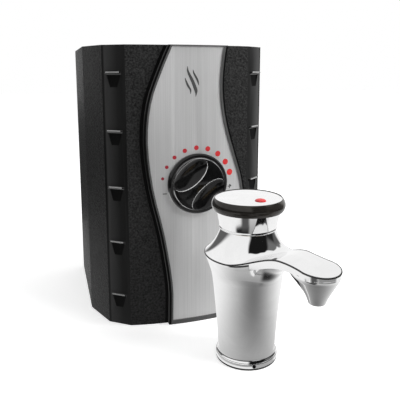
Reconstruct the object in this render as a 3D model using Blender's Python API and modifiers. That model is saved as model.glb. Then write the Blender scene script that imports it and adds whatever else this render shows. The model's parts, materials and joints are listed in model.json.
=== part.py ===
"""An instant hot water dispenser: a small heated tank with a temperature knob, and a push-button faucet.

Lengths are metres, +Z is up and the front faces -Y. The origin lies on the ground in the middle of the
tank's footprint. The faucet is modelled about its own axis, spout along +X, under the empty named faucet.
"""

import math

import bmesh
import bpy
from mathutils import Matrix, Vector

MM = 0.001

# How pieces meet
GAP = 0.3 * MM
RUNNING_GAP = 0.15 * MM
OVERRUN = 1 * MM
WELD = 0.01 * MM

# Facets of round pieces
SHARP_ANGLE = math.radians(35)
FINE_STEPS = 32
PLAIN_STEPS = 20
SMALL_STEPS = 12
VESSEL_STEPS = 24

# Case of the tank
CASE_WIDTH = 200 * MM
CASE_DEPTH = 180 * MM
CASE_HEIGHT = 290 * MM
CASE_WALL = 3 * MM
FRONT_WIDTH = 128.4 * MM
FRONT_CROWN = 7 * MM
COLUMN_RUN = 20.6 * MM
COLUMN_DEPTH = 15.4 * MM
CHAMFER_DEPTH = 39 * MM
FRONT_SEGMENTS = 12
LAP_THICKNESS = 3 * MM
LAP_LENGTH = 14 * MM
LAP_ROOT = 8 * MM
LAP_WIDTH = 140 * MM

# Louvre ledges on the two column facets
LEDGE_COUNT = 5
LEDGE_LOWEST = 34 * MM
LEDGE_HEAD_ROOM = 26 * MM
LEDGE_LENGTH = 18 * MM
LEDGE_REACH = 2.6 * MM
LEDGE_SINK = 1.2 * MM
LEDGE_ROOT = 3 * MM
LEDGE_TIP = 1.4 * MM
POCKET_WIDTH = 16.5 * MM
POCKET_FOOT_WIDTH = 8 * MM
POCKET_HEIGHT = 15 * MM
POCKET_DEPTH = 2.1 * MM

# Wave-shaped panel and its trim. A share pair is (height, sideways reach)
PANEL_PROUD = 3.8 * MM
PANEL_FOOT = 4.7 * MM
PANEL_HEAD_BORDER = 1.5 * MM
PANEL_REACH_LEFT = 44.4 * MM
PANEL_REACH_RIGHT = 57.5 * MM
TRIM_PROUD = 5 * MM
TRIM_WIDTH = 4.2 * MM
LEFT_EDGE_SHARES = (
    (-0.03, 0.49), (0, 0.48), (0.05, 0.468), (0.16, 0.477), (0.34, 0.65), (0.51, 0.895),
    (0.67, 1), (0.8, 0.92), (0.9, 0.7), (1, 0.42), (1.03, 0.33),
)
RIGHT_EDGE_SHARES = (
    (-0.03, 0.475), (0, 0.54), (0.07, 0.69), (0.16, 0.86), (0.26, 0.965), (0.38, 1), (0.51, 0.935),
    (0.6, 0.8), (0.7, 0.64), (0.79, 0.546), (0.87, 0.52), (0.94, 0.545), (1, 0.59), (1.03, 0.615),
)
EDGE_SPAN_POINTS = 3

# Dial
DIAL_X = 6 * MM
DIAL_RISE = 6 * MM
BEZEL_RADIUS = 31.5 * MM
BEZEL_RIM_RADIUS = 30.2 * MM
BEZEL_BORE = 27.2 * MM
BEZEL_PROUD = 5 * MM
KNOB_RADIUS = 26.6 * MM
KNOB_LIFT = 0.8 * MM
KNOB_RIM = 6.2 * MM
KNOB_CROWN = 3 * MM
KNOB_EDGE = 0.8 * MM
KNOB_BAR_TILT = math.radians(45)
SCOOP_OFFSET = 13.6 * MM
SCOOP_LENGTH = 19.4 * MM
SCOOP_BREADTH = 10.2 * MM
SCOOP_DEPTH = 6.2 * MM
SCOOP_LIFT = 1.4 * MM
SHAFT_RADIUS = 3 * MM
SHAFT_IN_KNOB = 4.5 * MM
SHAFT_IN_BLOCK = 8 * MM
BUSHING_RADIUS = 5 * MM
BLOCK_SIDE = 36 * MM
BLOCK_DEPTH = 18 * MM
PROBE_RADIUS = 3 * MM

# Vessel, its element and its foam
VESSEL_FRONT_ROOM = 40 * MM
VESSEL_BACK_ROOM = 16 * MM
VESSEL_WALL = 1.2 * MM
VESSEL_FLOOR = 30 * MM
VESSEL_HEAD_ROOM = 24.4 * MM
VESSEL_SHOULDER = 8 * MM
FOAM_FRONT = 12 * MM
PLUG_RADIUS = 18 * MM
PLUG_RISE = 4 * MM
FLANGE_RADIUS = 24 * MM
FLANGE_THICKNESS = 4 * MM
GASKET_THICKNESS = 1 * MM
ELEMENT_ROD = 3.2 * MM
ELEMENT_HALF_SPAN = 10 * MM
ELEMENT_HEIGHT = 105 * MM
ELEMENT_BEND_POINTS = 6
CUTOUT_DROP = 32 * MM
CUTOUT_RADIUS = 8 * MM
CUTOUT_LENGTH = 14 * MM
CUTOUT_STEP = 5 * MM

# Tray and unions in the top
TRAY_WIDTH = 120 * MM
TRAY_DEPTH = 60 * MM
TRAY_HEIGHT = 25 * MM
TRAY_WALL = 2.5 * MM
TRAY_FROM_BACK = 8 * MM
UNION_PITCH_SHARE = 18 / 31
UNION_SHANK = 6.2 * MM
UNION_SHANK_LENGTH = 8 * MM
UNION_FLANGE = 9 * MM
UNION_FLANGE_THICKNESS = 3 * MM
UNION_BODY = 6.4 * MM
UNION_LIP = 7.2 * MM
UNION_LIP_THICKNESS = 2.5 * MM
UNION_HEIGHT = 18 * MM
TUBE_RADIUS = 4 * MM
TUBE_BORE = 3 * MM
TUBE_STAND = 1.5 * MM
DIP_CLEARANCE = 14 * MM
SHORT_TUBE_REACH = 10 * MM

# Drain, terminal block, cord gland, hanger plate and screws
DRAIN_X = -36 * MM
DRAIN_HEAD_RADIUS = 8 * MM
DRAIN_HEAD_THICKNESS = 3.4 * MM
DRAIN_SHANK_RADIUS = 5.5 * MM
DRAIN_TIP_RADIUS = 4 * MM
DRAIN_TIP_RISE = 3 * MM
DRAIN_RECESS = 0.6 * MM
SEAL_THICKNESS = 1.2 * MM
TERMINAL_SIZE = (40 * MM, 16 * MM, 14 * MM)
TERMINAL_X = 30 * MM
TERMINAL_FROM_FOAM = 4 * MM
TERMINAL_ROUNDING = 1 * MM
GLAND_FROM_BACK = 40 * MM
GLAND_Z = 30 * MM
GLAND_FLANGE = 10 * MM
GLAND_FLANGE_THICKNESS = 2.5 * MM
GLAND_SHANK = 7 * MM
GLAND_LIP = 8 * MM
GLAND_LIP_THICKNESS = 3 * MM
GLAND_NOSE = 5.6 * MM
GLAND_NOSE_LENGTH = 8 * MM
GLAND_BORE = 3.6 * MM
PLATE_WIDTH = 120 * MM
PLATE_HEIGHT = 32 * MM
PLATE_THICKNESS = 1.5 * MM
PLATE_DROP = 61 * MM
KEYHOLE_X = 40 * MM
KEYHOLE_RADIUS = 5.5 * MM
KEYHOLE_SLOT = 2.75 * MM
KEYHOLE_RISE = 11 * MM
KEYHOLE_DROP = 4 * MM
KEYHOLE_HEAD_ROOM = 10 * MM
SCREW_X = 55 * MM
SCREW_SHANK = 1.9 * MM
SCREW_HEAD = 3.8 * MM
SCREW_HEAD_DEPTH = 1.9 * MM
SCREW_LENGTH = 5.8 * MM

# Where the faucet stands
FAUCET_X = 31.8 * MM
FAUCET_Y = -173.4 * MM
SPOUT_TURN = math.radians(-72)

# Foot of the faucet
DECK_GASKET_RADIUS = 28.7 * MM
DECK_GASKET_THICKNESS = 1.2 * MM
DECK_GASKET_BORE = 17 * MM
RING_RADIUS = 29.1 * MM
RING_TOP_RADIUS = 28.5 * MM
RING_BORE = 22.5 * MM
RING_HEIGHT = 4.6 * MM
RING_EDGE = 1 * MM
GRUB_TURN = math.radians(-26)
GRUB_RADIUS = 1.4 * MM
GRUB_LENGTH = 3 * MM
GRUB_SINK = 0.5 * MM

# Cast body, from its foot up to where the shoulder starts
BODY_FLARE_HEIGHT = 1.9 * MM
BODY_FLARE_RADIUS = 28.1 * MM
BODY_WAIST_RADIUS = 26.6 * MM
BODY_WAIST_HEIGHT = 12.5 * MM
BODY_MIDDLE_RADIUS = 28.4 * MM
BODY_MIDDLE_HEIGHT = 39 * MM
BODY_UPPER_RADIUS = 31.2 * MM
BODY_UPPER_DROP = 13 * MM
JOIN_RADIUS = 32.8 * MM
JOIN_DROP = 20.7 * MM
BODY_WALL = 4.5 * MM

# Shoulder and spout
SHOULDER_RADIUS = 39.6 * MM
SHOULDER_HEIGHT = 101.7 * MM
NECK_RADIUS = 25.1 * MM
NECK_RISE = 22.4 * MM
NECK_FLARE = 10 * MM
NECK_FLARE_AHEAD = 2.6 * MM
AHEAD_START = 14 * MM
AHEAD_FULL = 26 * MM
SPOUT_REACH = 83.4 * MM
SPOUT_TIP_RADIUS = 18 * MM
SPOUT_SWELL = 13.3 * MM
SPOUT_SWELL_START = 12.3 * MM
SPOUT_PEAK_REACH = 59.3 * MM
SPOUT_DIP = 2.8 * MM
SPOUT_CROWN = 2.2 * MM
SPOUT_TIP_CROWN = 1.6 * MM
CROWN_START = 23 * MM
CROWN_FULL = 50 * MM
SPOUT_UNDER_RISE = 3.6 * MM
SPOUT_ARCH = 12.3 * MM
SPOUT_NECK_TURN = math.radians(55)
SPOUT_MERGE_TURN = math.radians(95)
SIDE_PULL = 28 * MM
SIDE_WAIST = 4.2 * MM
SHOULDER_PULL = 14 * MM
SIDE_DROP_SHARE = 0.55
UNDER_FLARE_BEND = 0.85
EDGE_LAND = 0.8 * MM
TIP_STATIONS = 4
SIDE_STATIONS = 6
BACK_STATIONS = 8
TOP_RINGS = 9
TOP_FIRST_STEP = 1 * MM
UNDER_RINGS = 6
UNDER_FIRST_STEP = 1.6 * MM
UNDER_LAST_STEP = 1.2 * MM
MOUTH_DROP = 17.3 * MM
MOUTH_RADIUS = 6.5 * MM
BEAK_HEIGHT = 26.4 * MM
BEAK_SHARES = (
    (1, 0.965), (0.94, 0.985), (0.86, 0.98), (0.78, 0.94), (0.69, 0.87), (0.55, 0.76), (0.4, 0.64),
    (0.23, 0.51), (0.09, 0.42),
)

# Bores of the cast body
CARTRIDGE_SEAT_DROP = 29.1 * MM
CARTRIDGE_SEAT_DEPTH = 4.5 * MM
CHANNEL_RADIUS = 3.4 * MM
CHANNEL_LEAD = 6 * MM
CHANNEL_RISE_POINTS = 4
CHANNEL_BEND = 15 * MM
CHANNEL_BEND_POINTS = 6
INSERT_RADIUS = 5.2 * MM
INSERT_BORE = 3.2 * MM
INSERT_LENGTH = 7 * MM
INSERT_SINK = 0.6 * MM

# Valve
CARTRIDGE_RADIUS = 14 * MM
CARTRIDGE_NOSE_RADIUS = 11 * MM
CARTRIDGE_NOSE_HEIGHT = 7 * MM
NUT_RADIUS = 17 * MM
NUT_THICKNESS = 4.2 * MM
NUT_SIDES = 6
STEM_RADIUS = 4 * MM
STEM_HEAD_RADIUS = 9.2 * MM
STEM_HEAD_THICKNESS = 2 * MM
STEM_LENGTH = 29 * MM
STEM_END_ROOM = 1 * MM
STEM_SEAL_RADIUS = 6.2 * MM
STEM_SEAL_THICKNESS = 1.6 * MM
SPRING_RADIUS = 8.2 * MM
SPRING_WIRE = 0.7 * MM
SPRING_TURNS = 4
SPRING_TURN_POINTS = 8
WATER_TUBE_RADIUS = 3.2 * MM
WATER_TUBE_BORE = 2.3 * MM
WATER_TUBE_CIRCLE = 6 * MM
FAUCET_TUBE_TURNS = {
    "supply_tube": math.radians(90),
    "hot_tube": math.radians(210),
    "faucet_vent_tube": math.radians(330),
}

# Collar and button
COLLAR_FOOT_RADIUS = 25.8 * MM
COLLAR_TOP_RADIUS = 29.5 * MM
COLLAR_RISE = 19.4 * MM
COLLAR_WALL = 1.6 * MM
COLLAR_FLOOR = 3 * MM
COLLAR_BEAD = 0.5 * MM
COLLAR_BEAD_HEIGHT = 2 * MM
CAP_RISE = 8.5 * MM
CAP_HEIGHT = 10.2 * MM
CAP_THICKNESS = 3 * MM
CAP_FOOT_RADIUS = 31.7 * MM
CAP_TOP_RADIUS = 31.3 * MM
CAP_BULGE = 1.8 * MM
CAP_BULGE_POINTS = 5
CAP_BORE = 30.2 * MM
DISC_RADIUS = 30.2 * MM
DISC_THICKNESS = 1.2 * MM
DISC_RISE = 0.3 * MM
DISC_EDGE = 0.3 * MM
DOT_RADIUS = 3.65 * MM
DOT_REACH = 15.9 * MM
DOT_RISE = 0.2 * MM
BUTTON_STROKE = 4 * MM

# Places worked out from the sizes
FRONT_Y = -CASE_DEPTH / 2
BACK_Y = CASE_DEPTH / 2
DIAL_Z = CASE_HEIGHT / 2 + DIAL_RISE
LEDGE_PITCH = (CASE_HEIGHT - LEDGE_HEAD_ROOM - LEDGE_LOWEST) / (LEDGE_COUNT - 1)
SEAM_Y = FRONT_Y + COLUMN_DEPTH + CHAMFER_DEPTH
FRONT_RADIUS = ((FRONT_WIDTH / 2) ** 2 + FRONT_CROWN**2) / (2 * FRONT_CROWN)
FRONT_CENTRE_Y = FRONT_Y - FRONT_CROWN + FRONT_RADIUS
PANEL_FRONT_Y = FRONT_CENTRE_Y - math.sqrt((FRONT_RADIUS + PANEL_PROUD) ** 2 - DIAL_X**2)
VESSEL_RADIUS = (CASE_DEPTH - VESSEL_FRONT_ROOM - VESSEL_BACK_ROOM) / 2
VESSEL_Y = BACK_Y - VESSEL_BACK_ROOM - VESSEL_RADIUS
FOAM_FRONT_Y = VESSEL_Y - VESSEL_RADIUS - FOAM_FRONT
TRAY_Y = BACK_Y - TRAY_FROM_BACK - TRAY_DEPTH / 2
TRAY_TOP = CASE_HEIGHT - CASE_WALL - GAP
TRAY_FLOOR = TRAY_TOP - TRAY_HEIGHT + TRAY_WALL
FOAM_LOW = CASE_WALL + LAP_THICKNESS + 2 * GAP
FOAM_HIGH = TRAY_TOP - TRAY_HEIGHT - GAP
VESSEL_TOP = FOAM_HIGH - VESSEL_HEAD_ROOM
CUTOUT_Z = VESSEL_TOP - CUTOUT_DROP
UNION_PITCH = VESSEL_RADIUS * UNION_PITCH_SHARE
GLAND_Y = BACK_Y - GLAND_FROM_BACK
PLATE_Z = CASE_HEIGHT - PLATE_DROP
UNION_TOP = TRAY_FLOOR + GAP + UNION_HEIGHT
RING_FOOT = DECK_GASKET_THICKNESS + GAP
RING_TOP = RING_FOOT + RING_HEIGHT
BODY_FOOT = RING_TOP + GAP
NECK_HEIGHT = SHOULDER_HEIGHT + NECK_RISE
JOIN_HEIGHT = SHOULDER_HEIGHT - JOIN_DROP
BODY_UPPER_HEIGHT = JOIN_HEIGHT - BODY_UPPER_DROP
SPOUT_UNDERSIDE = SHOULDER_HEIGHT + SPOUT_UNDER_RISE
MOUTH_HEIGHT = SHOULDER_HEIGHT - MOUTH_DROP
COLLAR_FOOT = NECK_HEIGHT + GAP
COLLAR_TOP = NECK_HEIGHT + COLLAR_RISE
CAP_TOP = COLLAR_TOP + CAP_RISE
CAP_FOOT = CAP_TOP - CAP_HEIGHT
CAP_CEILING = CAP_TOP - CAP_THICKNESS
CARTRIDGE_SEAT = NECK_HEIGHT - CARTRIDGE_SEAT_DROP
CARTRIDGE_FOOT = CARTRIDGE_SEAT + GAP
CARTRIDGE_SHOULDER = COLLAR_FOOT + COLLAR_FLOOR
CARTRIDGE_TOP = CARTRIDGE_SHOULDER + CARTRIDGE_NOSE_HEIGHT
STEM_TOP = CAP_CEILING - GAP
UNION_NAMES = ("inlet_fitting", "vent_fitting", "outlet_fitting")


def clear_scene():
    for obj in list(bpy.data.objects):
        bpy.data.objects.remove(obj, do_unlink=True)


def new_collection(name):
    collection = bpy.data.collections.new(name)
    bpy.context.scene.collection.children.link(collection)
    return collection


def new_material(name, color, roughness, metallic=0.0):
    material = bpy.data.materials.new(name)
    material.use_nodes = True
    shader = material.node_tree.nodes["Principled BSDF"]
    shader.inputs["Base Color"].default_value = (*color, 1)
    shader.inputs["Roughness"].default_value = roughness
    shader.inputs["Metallic"].default_value = metallic
    return material


def new_empty(name, location=(0, 0, 0), turn=0.0):
    empty = bpy.data.objects.new(name, None)
    empty.location = location
    empty.rotation_euler.z = turn
    PIECES.objects.link(empty)
    return empty


def keep_piece(obj, material, parent):
    """Makes the object a piece of the dispenser."""
    PIECES.objects.link(obj)
    obj.data.materials.clear()
    obj.data.materials.append(material)
    if obj.type == "MESH":
        obj.data.shade_smooth()
        obj.data.set_sharp_from_angle(angle=SHARP_ANGLE)
    if obj.parent is None:
        obj.parent = parent
    return obj


def keep_cutter(obj, parent=None):
    """Makes the object a helper that Booleans read and renders leave out."""
    CUTTERS.objects.link(obj)
    obj.hide_render = True
    obj.display_type = "WIRE"
    if parent is not None:
        obj.parent = parent
    return obj


def combine(obj, operation, other):
    modifier = obj.modifiers.new(f"{operation.title()} {other.name}", "BOOLEAN")
    modifier.operation = operation
    modifier.object = other


def cut(obj, *cutters):
    for cutter in cutters:
        combine(obj, "DIFFERENCE", cutter)


def spread(first, last, count):
    """Evenly spaced values from first to last, both ends included."""
    return [first + (last - first) * index / count for index in range(count + 1)]


def smooth_step(value, low, high):
    """0 below low, 1 above high and an even curve between them."""
    share = min(max((value - low) / (high - low), 0), 1)
    return share * share * (3 - 2 * share)


def smooth_curve(points, per_span):
    """Points along a Catmull-Rom curve through the given ones."""
    ends = [points[0], *points, points[-1]]
    curve = []
    for before, start, end, after in zip(ends, ends[1:], ends[2:], ends[3:]):
        for share in spread(0, 1, per_span)[:-1]:
            weights = (
                -share / 2 + share**2 - share**3 / 2,
                1 - 5 * share**2 / 2 + 3 * share**3 / 2,
                share / 2 + 2 * share**2 - 3 * share**3 / 2,
                -(share**2) / 2 + share**3 / 2,
            )
            corners = (before, start, end, after)
            curve.append(tuple(sum(w * c[axis] for w, c in zip(weights, corners)) for axis in (0, 1)))
    return [*curve, tuple(points[-1])]


def moved_aside(points, distance):
    """An open line moved to its right-hand side, seen along its direction."""
    moved = []
    for index, point in enumerate(points):
        before = Vector(points[max(index - 1, 0)])
        after = Vector(points[min(index + 1, len(points) - 1)])
        along = (after - before).normalized()
        moved.append((point[0] + along.y * distance, point[1] - along.x * distance))
    return moved


def drawn_in(points, distance):
    """A closed outline moved inward, for points that run counter-clockwise."""
    moved = []
    for before, here, after in zip(points[-1:] + points[:-1], points, points[1:] + points[:1]):
        first = (Vector(here) - Vector(before)).normalized()
        second = (Vector(after) - Vector(here)).normalized()
        corner = Vector((-first.y - second.y, first.x + second.x)) / (1 + first.dot(second))
        moved.append((here[0] + corner.x * distance, here[1] + corner.y * distance))
    return moved


def clipped(points, axis, low=-math.inf, high=math.inf):
    """A closed outline cut off at two limits along one axis."""
    for limit, sign in ((low, 1), (high, -1)):
        if math.isinf(limit):
            continue
        kept = []
        for here, after in zip(points, points[1:] + points[:1]):
            here_inside = sign * (here[axis] - limit) >= 0
            after_inside = sign * (after[axis] - limit) >= 0
            if here_inside:
                kept.append(here)
            if here_inside != after_inside:
                share = (limit - here[axis]) / (after[axis] - here[axis])
                kept.append(tuple(a + share * (b - a) for a, b in zip(here, after)))
        points = kept
    return points


def mesh_of(obj):
    """The object's evaluated mesh, welded and facing out, in its own frame."""
    PIECES.objects.link(obj)
    graph = bpy.context.evaluated_depsgraph_get()
    mesh = bpy.data.meshes.new_from_object(obj.evaluated_get(graph))
    bpy.data.objects.remove(obj)
    shape = bmesh.new()
    shape.from_mesh(mesh)
    bmesh.ops.remove_doubles(shape, verts=shape.verts, dist=WELD)
    bmesh.ops.recalc_face_normals(shape, faces=shape.faces)
    shape.to_mesh(mesh)
    shape.free()
    return mesh


# An outline drawn in two axes and extruded along the third
EXTRUDED_ALONG = {
    "X": Matrix(((0, 0, 1, 0), (1, 0, 0, 0), (0, 1, 0, 0), (0, 0, 0, 1))),
    "Y": Matrix(((1, 0, 0, 0), (0, 0, -1, 0), (0, 1, 0, 0), (0, 0, 0, 1))),
    "Z": Matrix.Identity(4),
}


def outline_solid(name, outlines, low, high, along="Z"):
    """Flat outlines, holes among them, extruded along an axis from low to high."""
    curve = bpy.data.curves.new(name, "CURVE")
    curve.dimensions = "2D"
    curve.fill_mode = "BOTH"
    curve.extrude = (high - low) / 2
    for outline in outlines:
        spline = curve.splines.new("POLY")
        spline.points.add(len(outline) - 1)
        for point, (across, up) in zip(spline.points, outline):
            point.co = (across, up, 0, 1)
        spline.use_cyclic_u = True
    mesh = mesh_of(bpy.data.objects.new(name, curve))
    middle = -(low + high) / 2 if along == "Y" else (low + high) / 2
    mesh.transform(EXTRUDED_ALONG[along] @ Matrix.Translation((0, 0, middle)))
    return bpy.data.objects.new(name, mesh)


def box(name, low, high):
    shape = bmesh.new()
    bmesh.ops.create_cube(shape, size=1)
    size = Vector(high) - Vector(low)
    middle = (Vector(high) + Vector(low)) / 2
    bmesh.ops.transform(shape, matrix=Matrix.Diagonal((*size, 1)), verts=shape.verts)
    bmesh.ops.translate(shape, vec=middle, verts=shape.verts)
    mesh = bpy.data.meshes.new(name)
    shape.to_mesh(mesh)
    shape.free()
    return bpy.data.objects.new(name, mesh)


def hulls(name, corner_lists):
    """One object that holds the convex hull of each list of corners."""
    shape = bmesh.new()
    for corners in corner_lists:
        verts = [shape.verts.new(corner) for corner in corners]
        bmesh.ops.convex_hull(shape, input=verts)
    bmesh.ops.recalc_face_normals(shape, faces=shape.faces)
    mesh = bpy.data.meshes.new(name)
    shape.to_mesh(mesh)
    shape.free()
    return bpy.data.objects.new(name, mesh)


def turned(name, profile, steps=PLAIN_STEPS, ring=False):
    """A profile of (radius, height) points turned about Z. Its outer side runs from top to bottom."""
    mesh = bpy.data.meshes.new(name)
    count = len(profile)
    edges = [(index, index + 1) for index in range(count - 1)]
    if ring:
        edges.append((count - 1, 0))
    mesh.from_pydata([(radius, 0, height) for radius, height in profile], edges, [])
    obj = bpy.data.objects.new(name, mesh)
    screw = obj.modifiers.new("Screw", "SCREW")
    screw.angle = math.tau
    screw.steps = screw.render_steps = steps
    screw.use_merge_vertices = True
    screw.merge_threshold = WELD
    return obj


def cylinder(name, radius, low, high, steps=PLAIN_STEPS):
    shape = bmesh.new()
    bmesh.ops.create_cone(
        shape, cap_ends=True, segments=steps, radius1=radius, radius2=radius, depth=high - low
    )
    bmesh.ops.translate(shape, vec=(0, 0, (low + high) / 2), verts=shape.verts)
    mesh = bpy.data.meshes.new(name)
    shape.to_mesh(mesh)
    shape.free()
    return bpy.data.objects.new(name, mesh)


def tube(name, radius, bore, low, high, steps=SMALL_STEPS):
    profile = [(bore, high), (radius, high), (radius, low), (bore, low)]
    return turned(name, profile, steps, ring=True)


def wire(name, points, radius, resolution=2):
    """A round rod along a line of points, as a curve with filled caps."""
    curve = bpy.data.curves.new(name, "CURVE")
    curve.dimensions = "3D"
    curve.bevel_depth = radius
    curve.bevel_resolution = resolution
    curve.use_fill_caps = True
    spline = curve.splines.new("POLY")
    spline.points.add(len(points) - 1)
    for point, place in zip(spline.points, points):
        point.co = (*place, 1)
    return bpy.data.objects.new(name, curve)


def turned_forward(obj, place):
    """Stands a turned piece so that its top faces the front."""
    obj.rotation_euler.x = math.pi / 2
    obj.location = place
    return obj


def front_arc(proud=0.0):
    """Points along the bowed front from left to right, moved forward by proud."""
    radius = FRONT_RADIUS + proud
    half_turn = math.asin(FRONT_WIDTH / 2 / FRONT_RADIUS)
    turns = spread(-half_turn, half_turn, FRONT_SEGMENTS)
    return [(radius * math.sin(turn), FRONT_CENTRE_Y - radius * math.cos(turn)) for turn in turns]


def case_outline(inset=0.0):
    """The case seen from above, counter-clockwise from its left front corner."""
    column_x = FRONT_WIDTH / 2 + COLUMN_RUN
    column_y = FRONT_Y + COLUMN_DEPTH
    side_x = CASE_WIDTH / 2
    right = [(column_x, column_y), (side_x, SEAM_Y), (side_x, BACK_Y)]
    left = [(-x, y) for x, y in reversed(right)]
    return drawn_in(front_arc() + right + left, inset)


def front_inside_y(x):
    """Where the inner face of the bowed front lies at x."""
    return FRONT_CENTRE_Y - math.sqrt((FRONT_RADIUS - CASE_WALL) ** 2 - x**2)


def facet_place(side, along, outward, height):
    """A point given along, out from and up a column facet. side is -1 on the left and 1 on the right."""
    facet = Vector((COLUMN_RUN, COLUMN_DEPTH)).normalized()
    x = FRONT_WIDTH / 2 + COLUMN_RUN / 2 + facet.x * along + facet.y * outward
    y = FRONT_Y + COLUMN_DEPTH / 2 + facet.y * along - facet.x * outward
    return (side * x, y, height)


def ledge_heights():
    return [LEDGE_LOWEST + LEDGE_PITCH * index for index in range(LEDGE_COUNT)]


def ledge_corners(side, height):
    """Corners of one ledge: thick at its root in the wall and thin at its tip."""
    corners = []
    for along in (-LEDGE_LENGTH / 2, LEDGE_LENGTH / 2):
        corners.append(facet_place(side, along, -LEDGE_SINK, height))
        corners.append(facet_place(side, along, LEDGE_REACH, height))
        corners.append(facet_place(side, along, LEDGE_REACH, height - LEDGE_TIP))
        corners.append(facet_place(side, along, -LEDGE_SINK, height - LEDGE_ROOT))
    return corners


def pocket_corners(side, height):
    """Corners of the wedge cut under a ledge: deep and wide at its top, fading out at its foot."""
    top = height - LEDGE_ROOT / 2
    foot = height - POCKET_HEIGHT
    corners = []
    for hand in (-1, 1):
        corners.append(facet_place(side, hand * POCKET_WIDTH / 2, -POCKET_DEPTH, top))
        corners.append(facet_place(side, hand * POCKET_WIDTH / 2, OVERRUN, top))
        corners.append(facet_place(side, hand * POCKET_FOOT_WIDTH / 2, OVERRUN, foot))
        corners.append(facet_place(side, hand * POCKET_FOOT_WIDTH / 2, 0, foot))
    return corners


def lap(name, upside_down):
    """The tongue of the front cover that reaches under the rear one, drawn in Y and Z."""
    low = CASE_WALL - OVERRUN
    mid = CASE_WALL + GAP
    high = CASE_WALL + GAP + LAP_THICKNESS
    outline = [
        (SEAM_Y - LAP_ROOT, low), (SEAM_Y - OVERRUN, low), (SEAM_Y - OVERRUN, mid),
        (SEAM_Y + LAP_LENGTH, mid), (SEAM_Y + LAP_LENGTH, high), (SEAM_Y - LAP_ROOT, high),
    ]
    if upside_down:
        outline = [(y, CASE_HEIGHT - z) for y, z in outline]
    return keep_cutter(outline_solid(name, [outline], -LAP_WIDTH / 2, LAP_WIDTH / 2, along="X"))


def screw_profile():
    """Half of a countersunk screw, head down."""
    return [
        (0, GAP + SCREW_LENGTH), (SCREW_SHANK, GAP + SCREW_LENGTH),
        (SCREW_SHANK, GAP + SCREW_HEAD_DEPTH), (SCREW_HEAD, GAP), (0, GAP),
    ]


def screw_hole_profile():
    """Half of the hole that takes a case screw, wider and longer than the screw."""
    top = GAP + SCREW_LENGTH + OVERRUN
    return [
        (0, top), (SCREW_SHANK + GAP, top), (SCREW_SHANK + GAP, 2 * GAP + SCREW_HEAD_DEPTH),
        (SCREW_HEAD + GAP, 2 * GAP), (SCREW_HEAD + GAP, -OVERRUN), (0, -OVERRUN),
    ]


def screw_places():
    """Name, place and turn of each case screw: two up through the floor and two down through the top."""
    screw_y = SEAM_Y + LAP_LENGTH / 2
    for level, height, turn in (("lower", 0, 0), ("upper", CASE_HEIGHT, math.pi)):
        for side, x in (("left", -SCREW_X), ("right", SCREW_X)):
            yield f"case_screw_{level}_{side}", (x, screw_y, height), turn


def make_screw_holes():
    """One cutter for the holes of all the case screws."""
    shape = bmesh.new()
    for name, place, turn in screw_places():
        mesh = mesh_of(turned(f"{name}_hole", screw_hole_profile(), SMALL_STEPS))
        mesh.transform(Matrix.Translation(place) @ Matrix.Rotation(turn, 4, "X"))
        shape.from_mesh(mesh)
    joined = bpy.data.meshes.new("case_screw_holes")
    shape.to_mesh(joined)
    shape.free()
    return keep_cutter(bpy.data.objects.new("case_screw_holes", joined))


def make_screws(tank):
    for name, place, turn in screw_places():
        screw = turned(name, screw_profile(), SMALL_STEPS)
        screw.location = place
        screw.rotation_euler.x = turn
        keep_piece(screw, PLATED_STEEL, tank)


def keyhole(x):
    """A keyhole in X and Z: a round hole that takes a screw head, with a slot above it."""
    z = PLATE_Z - KEYHOLE_DROP
    start = math.acos(KEYHOLE_SLOT / KEYHOLE_RADIUS)
    turns = spread(start, -math.pi - start, SMALL_STEPS)
    points = [
        (x + KEYHOLE_RADIUS * math.cos(turn), z + KEYHOLE_RADIUS * math.sin(turn)) for turn in turns
    ]
    slot_top = z + KEYHOLE_RISE
    return [*points, (x - KEYHOLE_SLOT, slot_top), (x + KEYHOLE_SLOT, slot_top)]


def panel_edge(side, offset):
    """One wavy edge of the panel from bottom to top in X and Z, moved outward by offset."""
    shares = LEFT_EDGE_SHARES if side < 0 else RIGHT_EDGE_SHARES
    reach = PANEL_REACH_LEFT if side < 0 else PANEL_REACH_RIGHT
    points = [(side * reach * across, CASE_HEIGHT * up) for up, across in shares]
    return moved_aside(smooth_curve(points, EDGE_SPAN_POINTS), side * offset)


def panel_outline(offset, low, high):
    outline = panel_edge(-1, offset) + panel_edge(1, offset)[::-1]
    return clipped(outline, 1, low, high)


def bowed_slab(name, back, front, low, high):
    """A slab that follows the bowed front, between two distances in front of it."""
    return outline_solid(name, [front_arc(front) + front_arc(back)[::-1]], low, high)


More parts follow.
